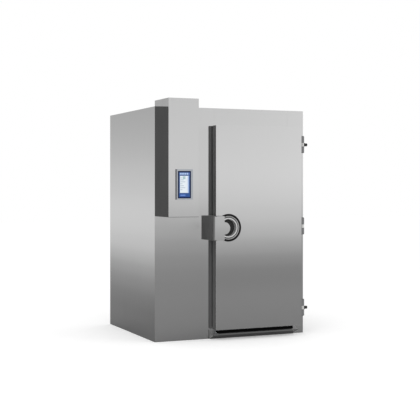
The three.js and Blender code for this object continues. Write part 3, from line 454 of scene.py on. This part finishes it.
def cutAlong(bm, point, normal, clear=False):  # cuts every face along a plane; clear takes off what is behind
    bmesh.ops.bisect_plane(bm, geom=bm.verts[:] + bm.edges[:] + bm.faces[:], dist=onPlane,
                           plane_co=place(*point), plane_no=normal, clear_inner=clear)


def closeCuts(bm):
    bmesh.ops.holes_fill(bm, edges=[e for e in bm.edges if len(e.link_faces) == 1], sides=0)


for nodeName, node in nodes.items():
    node.data.materials.clear()
    node.data.materials.append(lookOf[slotOf[nodeName]])


# cabinet of insulated sandwich panels: outer skins take the steels with painted shading, inner skins are pale
# lining
# front, back, side, top and foot are the places in m past which a skin is an outer one; edge roundings in mm
cabinet = {"facing": 0.6, "front": -0.6, "back": 0.6, "side": 0.75, "top": 2.2, "foot": 0.01,
           "wallEdge": 1.5, "panelEdge": 0.25, "frameEdge": 1.2, "kickEdge": 1.0, "railEdge": 4.0}
sill = {"left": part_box("frame_left")[1].x, "right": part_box("frame_right")[0].x, "edge": 0.8, "endFacing": 0.7}
# the post's right edge strip, edgeWidth mm wide, takes a painted highlight
post = {"edgeWidth": 5.0}
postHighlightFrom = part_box("hinge_post")[1].x - post["edgeWidth"] * mm


def panelFace(face):  # 0 front and 1 sides and back, in two copies of painted shading, 2 lining, 3 top and bottom
    normal, centre, facing = face.normal, face.calc_center_median(), cabinet["facing"]
    if normal.y < -facing and centre.y < cabinet["front"]:
        return 0
    if abs(normal.x) > facing and normal.x * centre.x > 0 and abs(centre.x) > cabinet["side"]:
        return 1
    if normal.y > facing and centre.y > cabinet["back"]:
        return 1
    return 3 if abs(normal.z) > facing and not cabinet["foot"] <= centre.z <= cabinet["top"] else 2


def postFace(face):  # as the other panels, and 4 on the folded edge, which takes a painted highlight
    onEdge = face.calc_center_median().x > postHighlightFrom and face.normal.y < -cabinet["facing"]
    return 4 if onEdge else panelFace(face)


def postCut(bm):
    cutAlong(bm, (postHighlightFrom / mm, 0, 0), (1, 0, 0))


# sloping sill with painted light and shade: dark under the door, bright at both ends
def sillCut(bm):
    for edge in (sill["left"], sill["right"]):
        cutAlong(bm, (edge / mm, 0, 0), (1, 0, 0))


def sillFace(face):  # 0 tread in painted shade, 1 the folded lip, 2 the closed ends and the tread beside them in painted light
    if face.normal.y < -cabinet["facing"]:
        return 1
    middle = face.calc_center_median().x
    isEnd = abs(face.normal.x) > sill["endFacing"] or not sill["left"] < middle < sill["right"]
    return 2 if isEnd else 0


panelSteel = [frontSteelPaintedShading, sideSteelPaintedShading, liningSteel, roofSteel]
for nodeName in ("left_wall", "right_wall", "rear_wall"):
    softened(nodeName, cabinet["wallEdge"], panelSteel, panelFace)
for nodeName in ("front_panel", "header_panel", "roof_panel", "floor_panel"):
    softened(nodeName, cabinet["panelEdge"], panelSteel, panelFace)
softened("hinge_post", cabinet["panelEdge"], panelSteel + [paintedHighlightEdge], postFace, shape=postCut)
for nodeName in ("frame_left", "frame_right", "frame_head"):  # only their front edges are rounded
    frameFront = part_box(nodeName)[0].y
    softened(nodeName, cabinet["frameEdge"], mirrored=False,
             keep=lambda e: all(v.co.y < frameFront + mm for v in e.verts))
softened("kick_plate", cabinet["kickEdge"], mirrored=False)
softened("threshold_sill", sill["edge"], [treadPaintedShade, treadLipPaintedShade, treadEndPaintedLight], sillFace, mirrored=False,
         shape=sillCut)
for nodeName in ("bumper_rail", "landing_post"):
    softened(nodeName, cabinet["railEdge"], segments=3)
print("cabinet and doorway made")


# control column: one folded housing, a dark left cheek and a light hood; edges are rounded in mm
column = {"housingEdge": 2.5, "sheetEdge": 0.8, "boxEdge": 4.0, "bezelEdge": 2.5, "facing": 0.4,
          "flankFacing": 0.5}


def columnFace(face):  # 0 what faces forward, 1 the sides, in the sides' copy of the painted shading
    return 0 if face.normal.y < -column["facing"] else 1


def bezelShade(face):  # 0 the frame, 1 its left flank
    return 1 if face.normal.x < -column["flankFacing"] else 0


softened("column_housing", column["housingEdge"], [frontSteelPaintedShading, sideSteelPaintedShading], columnFace, segments=3,
         mirrored=False)
softened("column_cheek", column["sheetEdge"], [cheekCoat], mirrored=False)
softened("column_hood", column["sheetEdge"], mirrored=False)
softened("column_base", column["sheetEdge"], mirrored=False)
softened("power_box", column["boxEdge"], segments=3)
softened("display_bezel", column["bezelEdge"], [bezelFace, bezelSide], bezelShade, segments=3, mirrored=False)


def fromEdge(value, low, high):  # a place counted from the low edge, or back from the high edge where below 0
    return low + value if value >= 0 else high + value


# touch display: a glossy cover with a plain layout of bands, rows and buttons under it
# a field is a tile's left, right, foot, top, back and front, in mm from the glass's edges and face, and the
# number of its colour
screen = {"raster": 2.0, "headers": 4, "headerPitch": 22, "rows": 7, "rowPitch": 18, "rowStep": 14,
          "colours": ["#0b1a3a", "#3a5688", "#a9bfe4", "#dbe3e9", "#aebac8", "#a5bfc2", "#d5dde8", "#9db2d8",
                      "#2f5290", "#6482c4", "#26437e", "#5468a8"],
          "ground": (11, -10, 11, -11, 1.1, 0.8, 1),
          "lists": [(20, -20, 50, -44, 0.9, 0.7, 3), (-31, -20, 50, -46, 0.9, 0.6, 7),
                    (-42, -31, 58, -58, 0.9, 0.6, 6), (48, 74, -74, -48, 0.9, 0.6, 5)],
          "header": (19, 37, -33, -17, 0.9, 0.6, 2), "mark": (-22, -10, -33, -17, 0.9, 0.6, 11),
          "row": (24, 44, -66, -60, 0.7, 0.5, 4),
          "foot": [(11, -12, 11, 42, 0.9, 0.6, 8), (24, 74, 22, 34, 0.7, 0.5, 9),
                   (11, -12, 11, 17, 0.7, 0.5, 10)]}


def litTile(name, hexText):  # a lit liquid-crystal field under glass: even colour, faint vertical raster
    material, tree, shader = startMaterial(name, {"Base Color": linearColour(hexText), "Roughness": 0.35,
                                                  "Coat Weight": 0.1, "Coat Roughness": 0.06,
                                                  "Specular IOR Level": 0.1, "Emission Strength": 0.12,
                                                  "Emission Color": linearColour(hexText)})
    point = addNode(tree, "ShaderNodeTexCoord")
    raster = addNode(tree, "ShaderNodeTexWave", {"wave_type": "BANDS", "bands_direction": "X"},
                     {"Scale": 1 / (screen["raster"] * mm) / 20}, {"Vector": (point, "Object")})
    tone = addNode(tree, "ShaderNodeMapRange", inputs={"To Min": 0.96, "To Max": 1.02},
                   links={"Value": (raster, 0)})
    colourByTone(tree, shader, hexText, tone)
    return material


def makeDisplay():
    low, high = (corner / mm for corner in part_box("display_glass"))
    bm = bmesh.new()

    def addField(field, aside=0, widen=0, down=0):
        left, right, foot, top, back, front, colour = field
        left, right = fromEdge(left, low.x, high.x) + aside, fromEdge(right, low.x, high.x) + aside + widen
        foot, top = fromEdge(foot, low.z, high.z) - down, fromEdge(top, low.z, high.z) - down
        addBox(bm, (left, low.y + front, foot), (right, low.y + back, top), colour)

    addBox(bm, (low.x, low.y + 1.0, low.z), (high.x, low.y + 3.0, high.z))
    addField(screen["ground"])
    for field in screen["lists"]:
        addField(field)
    for count in range(screen["headers"]):
        addField(screen["header"], aside=screen["headerPitch"] * count)
    addField(screen["mark"])
    for count in range(screen["rows"]):  # plain rows of three lengths
        addField(screen["row"], widen=screen["rowStep"] * (count % 3), down=screen["rowPitch"] * count)
    for field in screen["foot"]:
        addField(field)
    tiles = [litTile("lit display field " + hexText[1:], hexText) for hexText in screen["colours"]]
    finishPiece(bm, "display_screen", "cabinet", tiles, ["display_glass"], smooth=0,
                mirrored=False)


makeDisplay()
print("control column made")


# door: brushed skin on a dark edge profile with two shallow ribs, pressed liner, bellows gasket
# bands are shares of the depth of the slab or the gasket; edges are rounded in mm
door = {"slabBands": ((0.36, 0.50), (0.86, 0.94)), "slabGroove": 2.5, "grooveSlope": 0.4,
        "gasketBands": ((0.25, 0.42), (0.58, 0.75)), "gasketGroove": 3.0, "sweepPast": 12.0,
        "skinEdge": 0.9, "slabEdge": 1.0, "linerEdge": 0.6, "gasketEdge": 0.8, "sweepEdge": 1.5,
        "facing": 0.7, "bandFacing": 0.1}


def cutBands(bm, nodeName, bands, depth):  # grooves that run round a frame or slab
    low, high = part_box(nodeName)
    span = high.y - low.y
    for share in sorted({edge for band in bands for edge in band}):
        cutAlong(bm, (0, (low.y + span * share) / mm, 0), (0, 1, 0))
    inBand = [f for f in bm.faces if abs(f.normal.y) < door["bandFacing"] and any(
        low.y + a * span < f.calc_center_median().y < low.y + b * span for a, b in bands)]
    bmesh.ops.inset_region(bm, faces=inBand, thickness=door["grooveSlope"] * mm, depth=-depth * mm,
                           use_even_offset=True)


def slabCut(bm):
    cutBands(bm, "door_slab", door["slabBands"], door["slabGroove"])


def gasketCut(bm):  # two grooves make the bellows of a magnetic gasket
    cutBands(bm, "door_gasket", door["gasketBands"], door["gasketGroove"])


def sweepCut(bm):  # the wiping lip only spans the opening between the frames
    for nodeName, side, inward in (("frame_left", 1, 1), ("frame_right", 0, -1)):
        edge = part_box(nodeName)[side].x / mm - inward * door["sweepPast"]
        cutAlong(bm, (edge, 0, 0), (inward, 0, 0), clear=True)
    closeCuts(bm)


def skinFace(face):  # 0 the flat front, 1 its folded edges, which take a painted highlight
    return 0 if face.normal.y < -door["facing"] else 1


softened("door_skin", door["skinEdge"], [doorSteelPaintedShading, paintedHighlightEdge], skinFace, mirrored=False)
softened("door_slab", door["slabEdge"], mirrored=False, shape=slabCut)
softened("door_liner", door["linerEdge"], mirrored=False)
softened("door_gasket", door["gasketEdge"], [gasketRubber], mirrored=False, shape=gasketCut)
softened("door_sweep", door["sweepEdge"], [sweepRubberPaintedShade], mirrored=False, shape=sweepCut)
print("door made")


# hinges: cast leaves with a pale cam bush between them, screws in the plates; all in mm
hinge = {"halfHeight": 85.0, "split": 15.0, "bushHeight": 34.0, "knuckle": 18.0, "over": 0.5, "under": 1.5,
         "boss": 15.5, "plateFront": 8.0, "screwRadius": 6.5, "screwHeight": 1.8, "screwSunk": 0.2,
         "screwX": 27.0, "screwZ": 60.0, "doorScrewOut": 38.0, "doorLeaf": 4.6, "leafEdge": 1.0,
         "stopEdge": 2.5}


def addScrew(bm, centre, axis, index=0):  # a low round head with a driver recess
    radius, height, sunk = hinge["screwRadius"], hinge["screwHeight"], hinge["screwSunk"]
    addLathe(bm, [(0, -sunk), (radius, -sunk), (radius, height * 0.4), (radius * 0.75, height),
                  (radius * 0.35, height), (radius * 0.25, height * 0.2), (0, height * 0.2)],
             centre, axis, index, 20)


def makeHinge(suffix):
    axisX, axisY = (value / mm for value in joints["door_hinge"]["pos_m"][:2])
    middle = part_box("hinge_post_leaf_" + suffix)[0].z / mm + hinge["halfHeight"]
    bushTop = middle + hinge["split"]
    bushFoot = bushTop - hinge["bushHeight"]

    def bushCut(bm):
        cutAlong(bm, (0, 0, bushFoot), (0, 0, 1))

    def leafFace(face):  # 0 casting, 1 the pale bush, 2 the booted boss that carries the rubber stop
        spot = face.calc_center_median() / mm
        reach = [math.hypot(v.co.x / mm - axisX, v.co.y / mm - axisY) for v in face.verts]
        beside = abs(spot.y - axisY) < hinge["boss"] and spot.x > axisX + hinge["boss"] / 2
        past = max(reach) >= hinge["knuckle"] + hinge["over"]
        if beside and past and spot.z > bushFoot - 1:
            return 2
        around = min(reach) > hinge["knuckle"] - hinge["under"] and not past
        return 1 if around and bushFoot < spot.z < bushTop and abs(face.normal.z) < 0.5 else 0

    softened("hinge_post_leaf_" + suffix, hinge["leafEdge"], [castSteel, bushNylon, rubber], leafFace,
             mirrored=False, shape=bushCut)
    softened("hinge_door_leaf_" + suffix, hinge["leafEdge"], [castSteel], mirrored=False)
    bm = bmesh.new()
    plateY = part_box("hinge_post")[0].y / mm - hinge["plateFront"]
    for aside in (-hinge["screwX"], hinge["screwX"]):
        for up in (-hinge["screwZ"], hinge["screwZ"]):
            addScrew(bm, (axisX + aside, plateY, middle + up), (0, -1, 0))
    finishPiece(bm, "hinge_post_screws_" + suffix, "cabinet", [wireSteel], mirrored=False)
    bm = bmesh.new()
    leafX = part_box("door_slab")[1].x / mm + hinge["doorLeaf"]
    for up in (-hinge["screwZ"], 0, hinge["screwZ"]):
        addScrew(bm, (leafX, axisY - hinge["doorScrewOut"], middle + up), (1, 0, 0))
    finishPiece(bm, "hinge_door_screws_" + suffix, "door", [wireSteel], mirrored=False)


for suffix in ("bottom", "middle", "top"):
    makeHinge(suffix)
for suffix in ("bottom", "top"):  # only the free end of a stop is rounded
    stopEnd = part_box("hinge_stop_" + suffix)[1].x
    softened("hinge_stop_" + suffix, hinge["stopEdge"], [rubber], segments=3, mirrored=False,
             keep=lambda e: all(v.co.x > stopEnd - mm for v in e.verts))
print("hinges made")


# latch and lever: dark coated blocks on the door and the frame, steel lever plate with a round nose
latch = {"blockEdge": 2.5, "leverEdge": 2.2, "pinEdge": 0.8, "boltEdge": 1.5, "knobEdge": 2.0,
         "barrelFacing": 0.35}


def leverFace(face):  # 0 what faces forward, 1 the rolled barrel that faces left
    return 1 if face.normal.x < -latch["barrelFacing"] else 0


softened("latch_housing", latch["blockEdge"], [darkCoat], segments=3, mirrored=False)
softened("keeper_block", latch["blockEdge"], [darkCoat], segments=3, mirrored=False)
softened("handle_lever", latch["leverEdge"], [leverSteelPaintedShading, barrelSteel], leverFace, segments=3, mirrored=False)
softened("lever_pin", latch["pinEdge"], [castSteel], mirrored=False)
softened("latch_bolt", latch["boltEdge"], [castSteel], segments=3)


# round pull recess: dark cup, steel escutcheon with a groove, rubber rim; radii and heights in mm
recess = {"wallFrom": 0.5, "lipRadius": 94.6, "grooveRadius": 104.0, "ringRadius": 119.0, "ringHeight": 6.0,
          "rimRadius": 132.5, "rimHeight": 9.0, "lap": 7.5, "gap": 0.3, "overRing": 0.2, "cupEdge": 1.0,
          "ringEdge": 0.5}
recessLow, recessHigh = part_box("handle_escutcheon")
recessZ = (recessLow.z + recessHigh.z) / 2
recessX = recessHigh.x - (recessHigh.z - recessLow.z) / 2  # its left part is cut off by the latch
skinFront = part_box("door_skin")[0].y
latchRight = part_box("latch_housing")[1].x


def cupFace(face):  # 0 the shaded bottom, 1 the wall that catches the light
    centre = face.calc_center_median()
    outward = Vector((centre.x - recessX, 0, centre.z - recessZ))
    return 1 if abs(face.normal.y) < recess["wallFrom"] and face.normal.dot(outward) < 0 else 0


def ringFace(face):  # 0 ring, 1 the groove, 2 the lip inside it
    reach = max(math.hypot(v.co.x - recessX, v.co.z - recessZ) / mm for v in face.verts)
    if reach < recess["lipRadius"] + recess["gap"]:
        return 2
    return 1 if reach < recess["grooveRadius"] + recess["gap"] else 0


def makeRim():  # the rubber rim laps over the ring's edge and ends at the latch
    gap, outer, height = recess["gap"], recess["rimRadius"], recess["rimHeight"]
    inner, lap = recess["ringRadius"] + gap, recess["ringRadius"] - recess["lap"]
    ring = recess["ringHeight"] + recess["overRing"]
    bm = bmesh.new()
    addLathe(bm, [(inner, gap), (outer, gap), (outer, height - 3), (outer - 2.5, height), (lap + 1.5, height),
                  (lap, height - 1.5), (lap, ring), (inner, ring), (inner, gap)],
             (recessX / mm, skinFront / mm, recessZ / mm), (0, -1, 0), steps=96)
    cutAlong(bm, (latchRight / mm + gap, 0, 0), (1, 0, 0), clear=True)
    closeCuts(bm)
    finishPiece(bm, "handle_rim_finished", "door", [rimRubber], ["handle_rim"],
                mirrored=False)


softened("handle_cup", recess["cupEdge"], [cupBottom, cupWall], cupFace, mirrored=False)
softened("handle_escutcheon", recess["ringEdge"], [ringSteel, grooveSteel, lipSteel], ringFace,
         mirrored=False)
makeRim()
softened("release_knob", latch["knobEdge"], segments=3)
print("latch, lever and recess made")


def addBend(bm, centre, radius, tube, outward, across, index=0, steps=8, sides=10):
    # a return bend: half a ring of tube between two straight tubes, both sides set by unit vectors
    outward, across = Vector(outward), Vector(across)
    turn = Matrix((across, outward.cross(across), outward)).transposed().to_4x4()
    spot = Matrix.Translation(place(*centre) + across * radius * mm)
    made = bmesh.ops.create_circle(bm, segments=sides, radius=tube * mm, matrix=spot @ turn)
    edges = list({e for v in made["verts"] for e in v.link_edges})
    before = set(bm.faces)
    bmesh.ops.spin(bm, geom=made["verts"] + edges, cent=place(*centre), axis=across.cross(outward),
                   angle=math.pi, steps=steps, use_merge=False, use_duplicate=False)
    fresh = [f for f in bm.faces if f not in before]
    openEnds = [e for f in fresh for e in f.edges if len(e.link_faces) == 1]
    fresh += bmesh.ops.holes_fill(bm, edges=openEnds, sides=0)["faces"]
    for face in fresh:
        face.material_index = index
    bmesh.ops.recalc_face_normals(bm, faces=fresh)


# evaporator: pressed end plates, close aluminium fins and copper tubes with return bends; all in mm
coil = {"finPitch": 9.0, "finThickness": 0.9, "finGap": 0.3, "plateMargin": 15.0, "plateThickness": 6.0,
        "foot": 75.0, "cover": 6.0, "rows": 20, "columns": 4, "tubeRadius": 6.0, "edge": 1.0, "trayEdge": 1.0,
        "pipeEdge": 0.8}


def makeCoil():
    low, high = (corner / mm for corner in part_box("evaporator_coil"))
    finX = (low.x + coil["plateMargin"], high.x - coil["plateMargin"])
    finZ = (low.z + coil["foot"], high.z - coil["cover"])
    ends = (low.y + coil["plateThickness"], high.y - coil["plateThickness"])
    bm = bmesh.new()
    for y in (low.y, ends[1]):
        addBox(bm, (low.x, y, low.z), (high.x, y + coil["plateThickness"], high.z), 1)
    addBox(bm, (finX[0], ends[0], finZ[1]), (finX[1], ends[1], high.z), 1)
    softenEdges(bm, coil["edge"])
    finCount = int((ends[1] - ends[0]) / coil["finPitch"])
    for count in range(1, finCount):
        y = ends[0] + (ends[1] - ends[0]) * count / finCount
        addBox(bm, (finX[0], y, finZ[0]), (finX[1], y + coil["finThickness"], finZ[1] - coil["finGap"]), 0)
    rowStep = (finZ[1] - finZ[0]) / coil["rows"]
    columnStep = (finX[1] - finX[0]) / coil["columns"]
    for row in range(coil["rows"]):
        z = finZ[0] + rowStep * (row + 0.5)
        for number in range(coil["columns"]):
            x = finX[0] + columnStep * (number + 0.5)
            addRod(bm, (x, ends[0], z), (x, ends[1], z), coil["tubeRadius"], 2, 10)
        for pair in range(coil["columns"] // 2):
            for y, outward in ((low.y, -1), (high.y, 1)):
                middle = finX[0] + columnStep * (pair * 2 + 1)
                addBend(bm, (middle, y, z), columnStep / 2, coil["tubeRadius"], (0, outward, 0), (1, 0, 0), 2)
    finishPiece(bm, "evaporator_coil_finished", "cabinet",
                [finAluminium, liningSteel, copper], ["evaporator_coil"], smooth=40.0)


makeCoil()
softened("drip_tray", coil["trayEdge"], smooth=40.0)
for nodeName in ("suction_pipe", "liquid_pipe"):
    softened(nodeName, coil["pipeEdge"], smooth=60.0)
print("evaporator, tray and pipes made")


# fan panel: folded sheet with a rolled mouth at each hole, wire guards, ribbed motors and bladed impellers
# all in mm; heights along the fans' axis are counted from the impeller's middle
fan = {"panelEdge": 2.0, "sheetFront": 15.0, "sheetDepth": 30.0, "mouthRadius": 228.0, "mouthWidth": 9.0,
       "mouthHeight": 6.0, "screwLeft": 16.0, "screwRight": 70.0, "screwEnds": 40.0, "screwsUp": 7,
       "guardBack": 15.3, "standOff": 55.0, "flangeIn": 229.0, "flangeOut": 243.0, "flangeHeight": 6.0,
       "wire": 4.0, "wireGap": 16.0, "arms": 6, "plateRadius": 75.0, "plateThickness": 4.0, "plateScrews": 4,
       "plateScrewRadius": 38.0, "canFront": 26.0, "canBack": 70.0, "canRadius": 52.0, "shaftRadius": 10.0,
       "ribPitch": 6.0, "ribDepth": 4.0, "hubFront": -15.0, "hubRadius": 58.0, "hubCap": 12.0,
       "bladeEdge": 0.8, "rodEdge": 0.8}


def fanPlace(number):  # the impeller's middle, in mm
    return Vector(joints["fan_%d_spin" % number]["pos_m"]) / mm


def makeFanPanel():
    low, high = (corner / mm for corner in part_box("fan_panel"))
    bm = copyNode("fan_panel")
    softenEdges(bm, fan["panelEdge"], angle=40.0)
    front = joints["fan_panel_hinge"]["pos_m"][0] / mm + fan["sheetFront"]
    radius, width, height = fan["mouthRadius"], fan["mouthWidth"], fan["mouthHeight"]
    for number in (1, 2, 3):
        spot = fanPlace(number)
        addLathe(bm, [(radius, 0.2), (radius + width, 0.2), (radius + width, -height * 0.5),
                      (radius + width * 0.5, -height), (radius, -height * 0.6), (radius, 0.2)],
                 (front - fan["sheetDepth"], spot.y, spot.z), (1, 0, 0), steps=64)
    for side in (low.y + fan["screwLeft"], high.y - fan["screwRight"]):
        for count in range(fan["screwsUp"]):
            share = count / (fan["screwsUp"] - 1)
            z = low.z + fan["screwEnds"] + (high.z - low.z - 2 * fan["screwEnds"]) * share
            addScrew(bm, (front, side, z), (1, 0, 0), 1)
    finishPiece(bm, "fan_panel_finished", "fan_panel", [liningSteel, wireSteel],
                ["fan_panel"], smooth=40.0)


def makeGuard(number):
    spot = fanPlace(number)
    back = spot.x + fan["guardBack"]
    plate = back + fan["standOff"]
    wire, inner, outer, height = fan["wire"], fan["flangeIn"], fan["flangeOut"], fan["flangeHeight"]
    hub, thick = fan["plateRadius"], fan["plateThickness"]
    bm = bmesh.new()
    addLathe(bm, [(inner, 0), (outer, 0), (outer, height - 2), (outer - 3, height), (inner + 3, height),
                  (inner, height - 2), (inner, 0)], (back, spot.y, spot.z), (1, 0, 0), steps=64)
    addLathe(bm, [(0, 0), (hub, 0), (hub, thick / 2), (hub - 3, thick), (0, thick)], (plate, spot.y, spot.z),
             (1, 0, 0))
    radius = hub + fan["wireGap"]
    while radius < inner + 3:
        addHoop(bm, (plate + wire / 2, spot.y, spot.z), radius, wire, (1, 0, 0))
        radius += fan["wireGap"]
    for count in range(fan["arms"]):
        # the arm stands on the flange, turns over at the guard's plane and runs to the hub
        angle = math.tau * count / fan["arms"]
        away = Vector((0, math.cos(angle), math.sin(angle)))
        foot = Vector((back + height / 2, spot.y, spot.z)) + away * (inner + outer) / 2
        middle = Vector((plate - wire / 2, spot.y, spot.z))
        corner = middle + away * (inner + outer) / 2
        addRod(bm, foot, corner, wire / 2, segments=10)
        addRod(bm, corner, middle + away * (hub - 4), wire / 2, segments=10)
    for count in range(fan["plateScrews"]):  # they hold the motor
        angle = math.tau * (count + 0.5) / fan["plateScrews"]
        reach = fan["plateScrewRadius"]
        addScrew(bm, (plate + thick, spot.y + reach * math.cos(angle), spot.z + reach * math.sin(angle)),
                 (1, 0, 0))
    name = "fan_guard_%d" % number
    finishPiece(bm, name + "_finished", "fan_panel", [wireSteel], [name], smooth=50.0)


def makeMotor(number):  # cast can with ribs round it
    radius, shaft, rib = fan["canRadius"], fan["shaftRadius"], fan["ribDepth"]
    tip, start, end = fan["hubFront"], fan["canFront"], fan["canBack"]
    profile = [(0, tip), (shaft - 1, tip), (shaft, tip + 1), (shaft, start), (radius - 6, start),
               (radius, start + 5)]
    along = start + 8
    while along + fan["ribPitch"] < end - 6:
        profile += [(radius, along), (radius - rib, along + 0.6), (radius - rib, along + 2.4),
                    (radius, along + 3)]
        along += fan["ribPitch"]
    profile += [(radius, end - 2), (radius - 2, end), (0, end)]
    bm = bmesh.new()
    addLathe(bm, profile, fanPlace(number), (1, 0, 0))
    name = "fan_motor_%d" % number
    finishPiece(bm, name + "_finished", "fan_panel", [blackPlastic], [name], smooth=35.0)


def makeImpeller(number):  # pressed blades, with a rounded cap on the hub
    name = "fan_impeller_%d" % number
    bm = copyNode(name)
    softenEdges(bm, fan["bladeEdge"], angle=50.0)
    hub, tip, cap = fan["hubRadius"], fan["hubFront"], fan["hubCap"]
    addLathe(bm, [(0, tip - cap), (hub * 0.45, tip - cap * 0.9), (hub * 0.8, tip - cap * 0.5), (hub - 3, tip),
                  (0, tip)], fanPlace(number), (1, 0, 0), 1, 40)
    finishPiece(bm, name + "_finished", bodyOf[name], [finAluminium, blackPlastic], [name],
                smooth=40.0)


makeFanPanel()
for number in (1, 2, 3):
    makeGuard(number)
    makeMotor(number)
    makeImpeller(number)
softened("fan_panel_rod", fan["rodEdge"], [castSteel], smooth=60.0)
print("fan panel made")


# controller board behind the display: relays, chips, terminals and capacitors on the green board; all in mm
# a row of blocks is how many there are, the first one's place, their pitch, width, foot, top and height, and
# the number of their material
board = {"blocks": [(4, 22, 34, 26, -62, -34, 15, 0), (3, 26, 44, 28, -126, -98, 3, 1),
                    (9, 18, 15, 12, 14, 34, 12, 2)],
         "capacitors": 3, "capFirst": 34, "capPitch": 40, "capUp": 68, "capLength": 20, "capRadius": 8,
         "sunk": 0.2, "blockEdge": 0.6, "boardEdge": 0.3}


def makeBoard():
    low, high = (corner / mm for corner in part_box("controller_board"))
    back = high.y - board["sunk"]
    bm = bmesh.new()
    for number, first, pitch, width, foot, top, height, index in board["blocks"]:
        for count in range(number):
            x = low.x + first + count * pitch
            addBox(bm, (x, back, fromEdge(foot, low.z, high.z)),
                   (x + width, high.y + height, fromEdge(top, low.z, high.z)), index)
    softenEdges(bm, board["blockEdge"])
    for count in range(board["capacitors"]):
        x, z = low.x + board["capFirst"] + count * board["capPitch"], low.z + board["capUp"]
        addRod(bm, (x, back, z), (x, high.y + board["capLength"], z), board["capRadius"], 1)
    finishPiece(bm, "controller_parts", "cabinet", [blackPlastic, darkCoat, greySheet])
    softened("controller_board", board["boardEdge"], [boardGreen])


makeBoard()
print("controller board made")
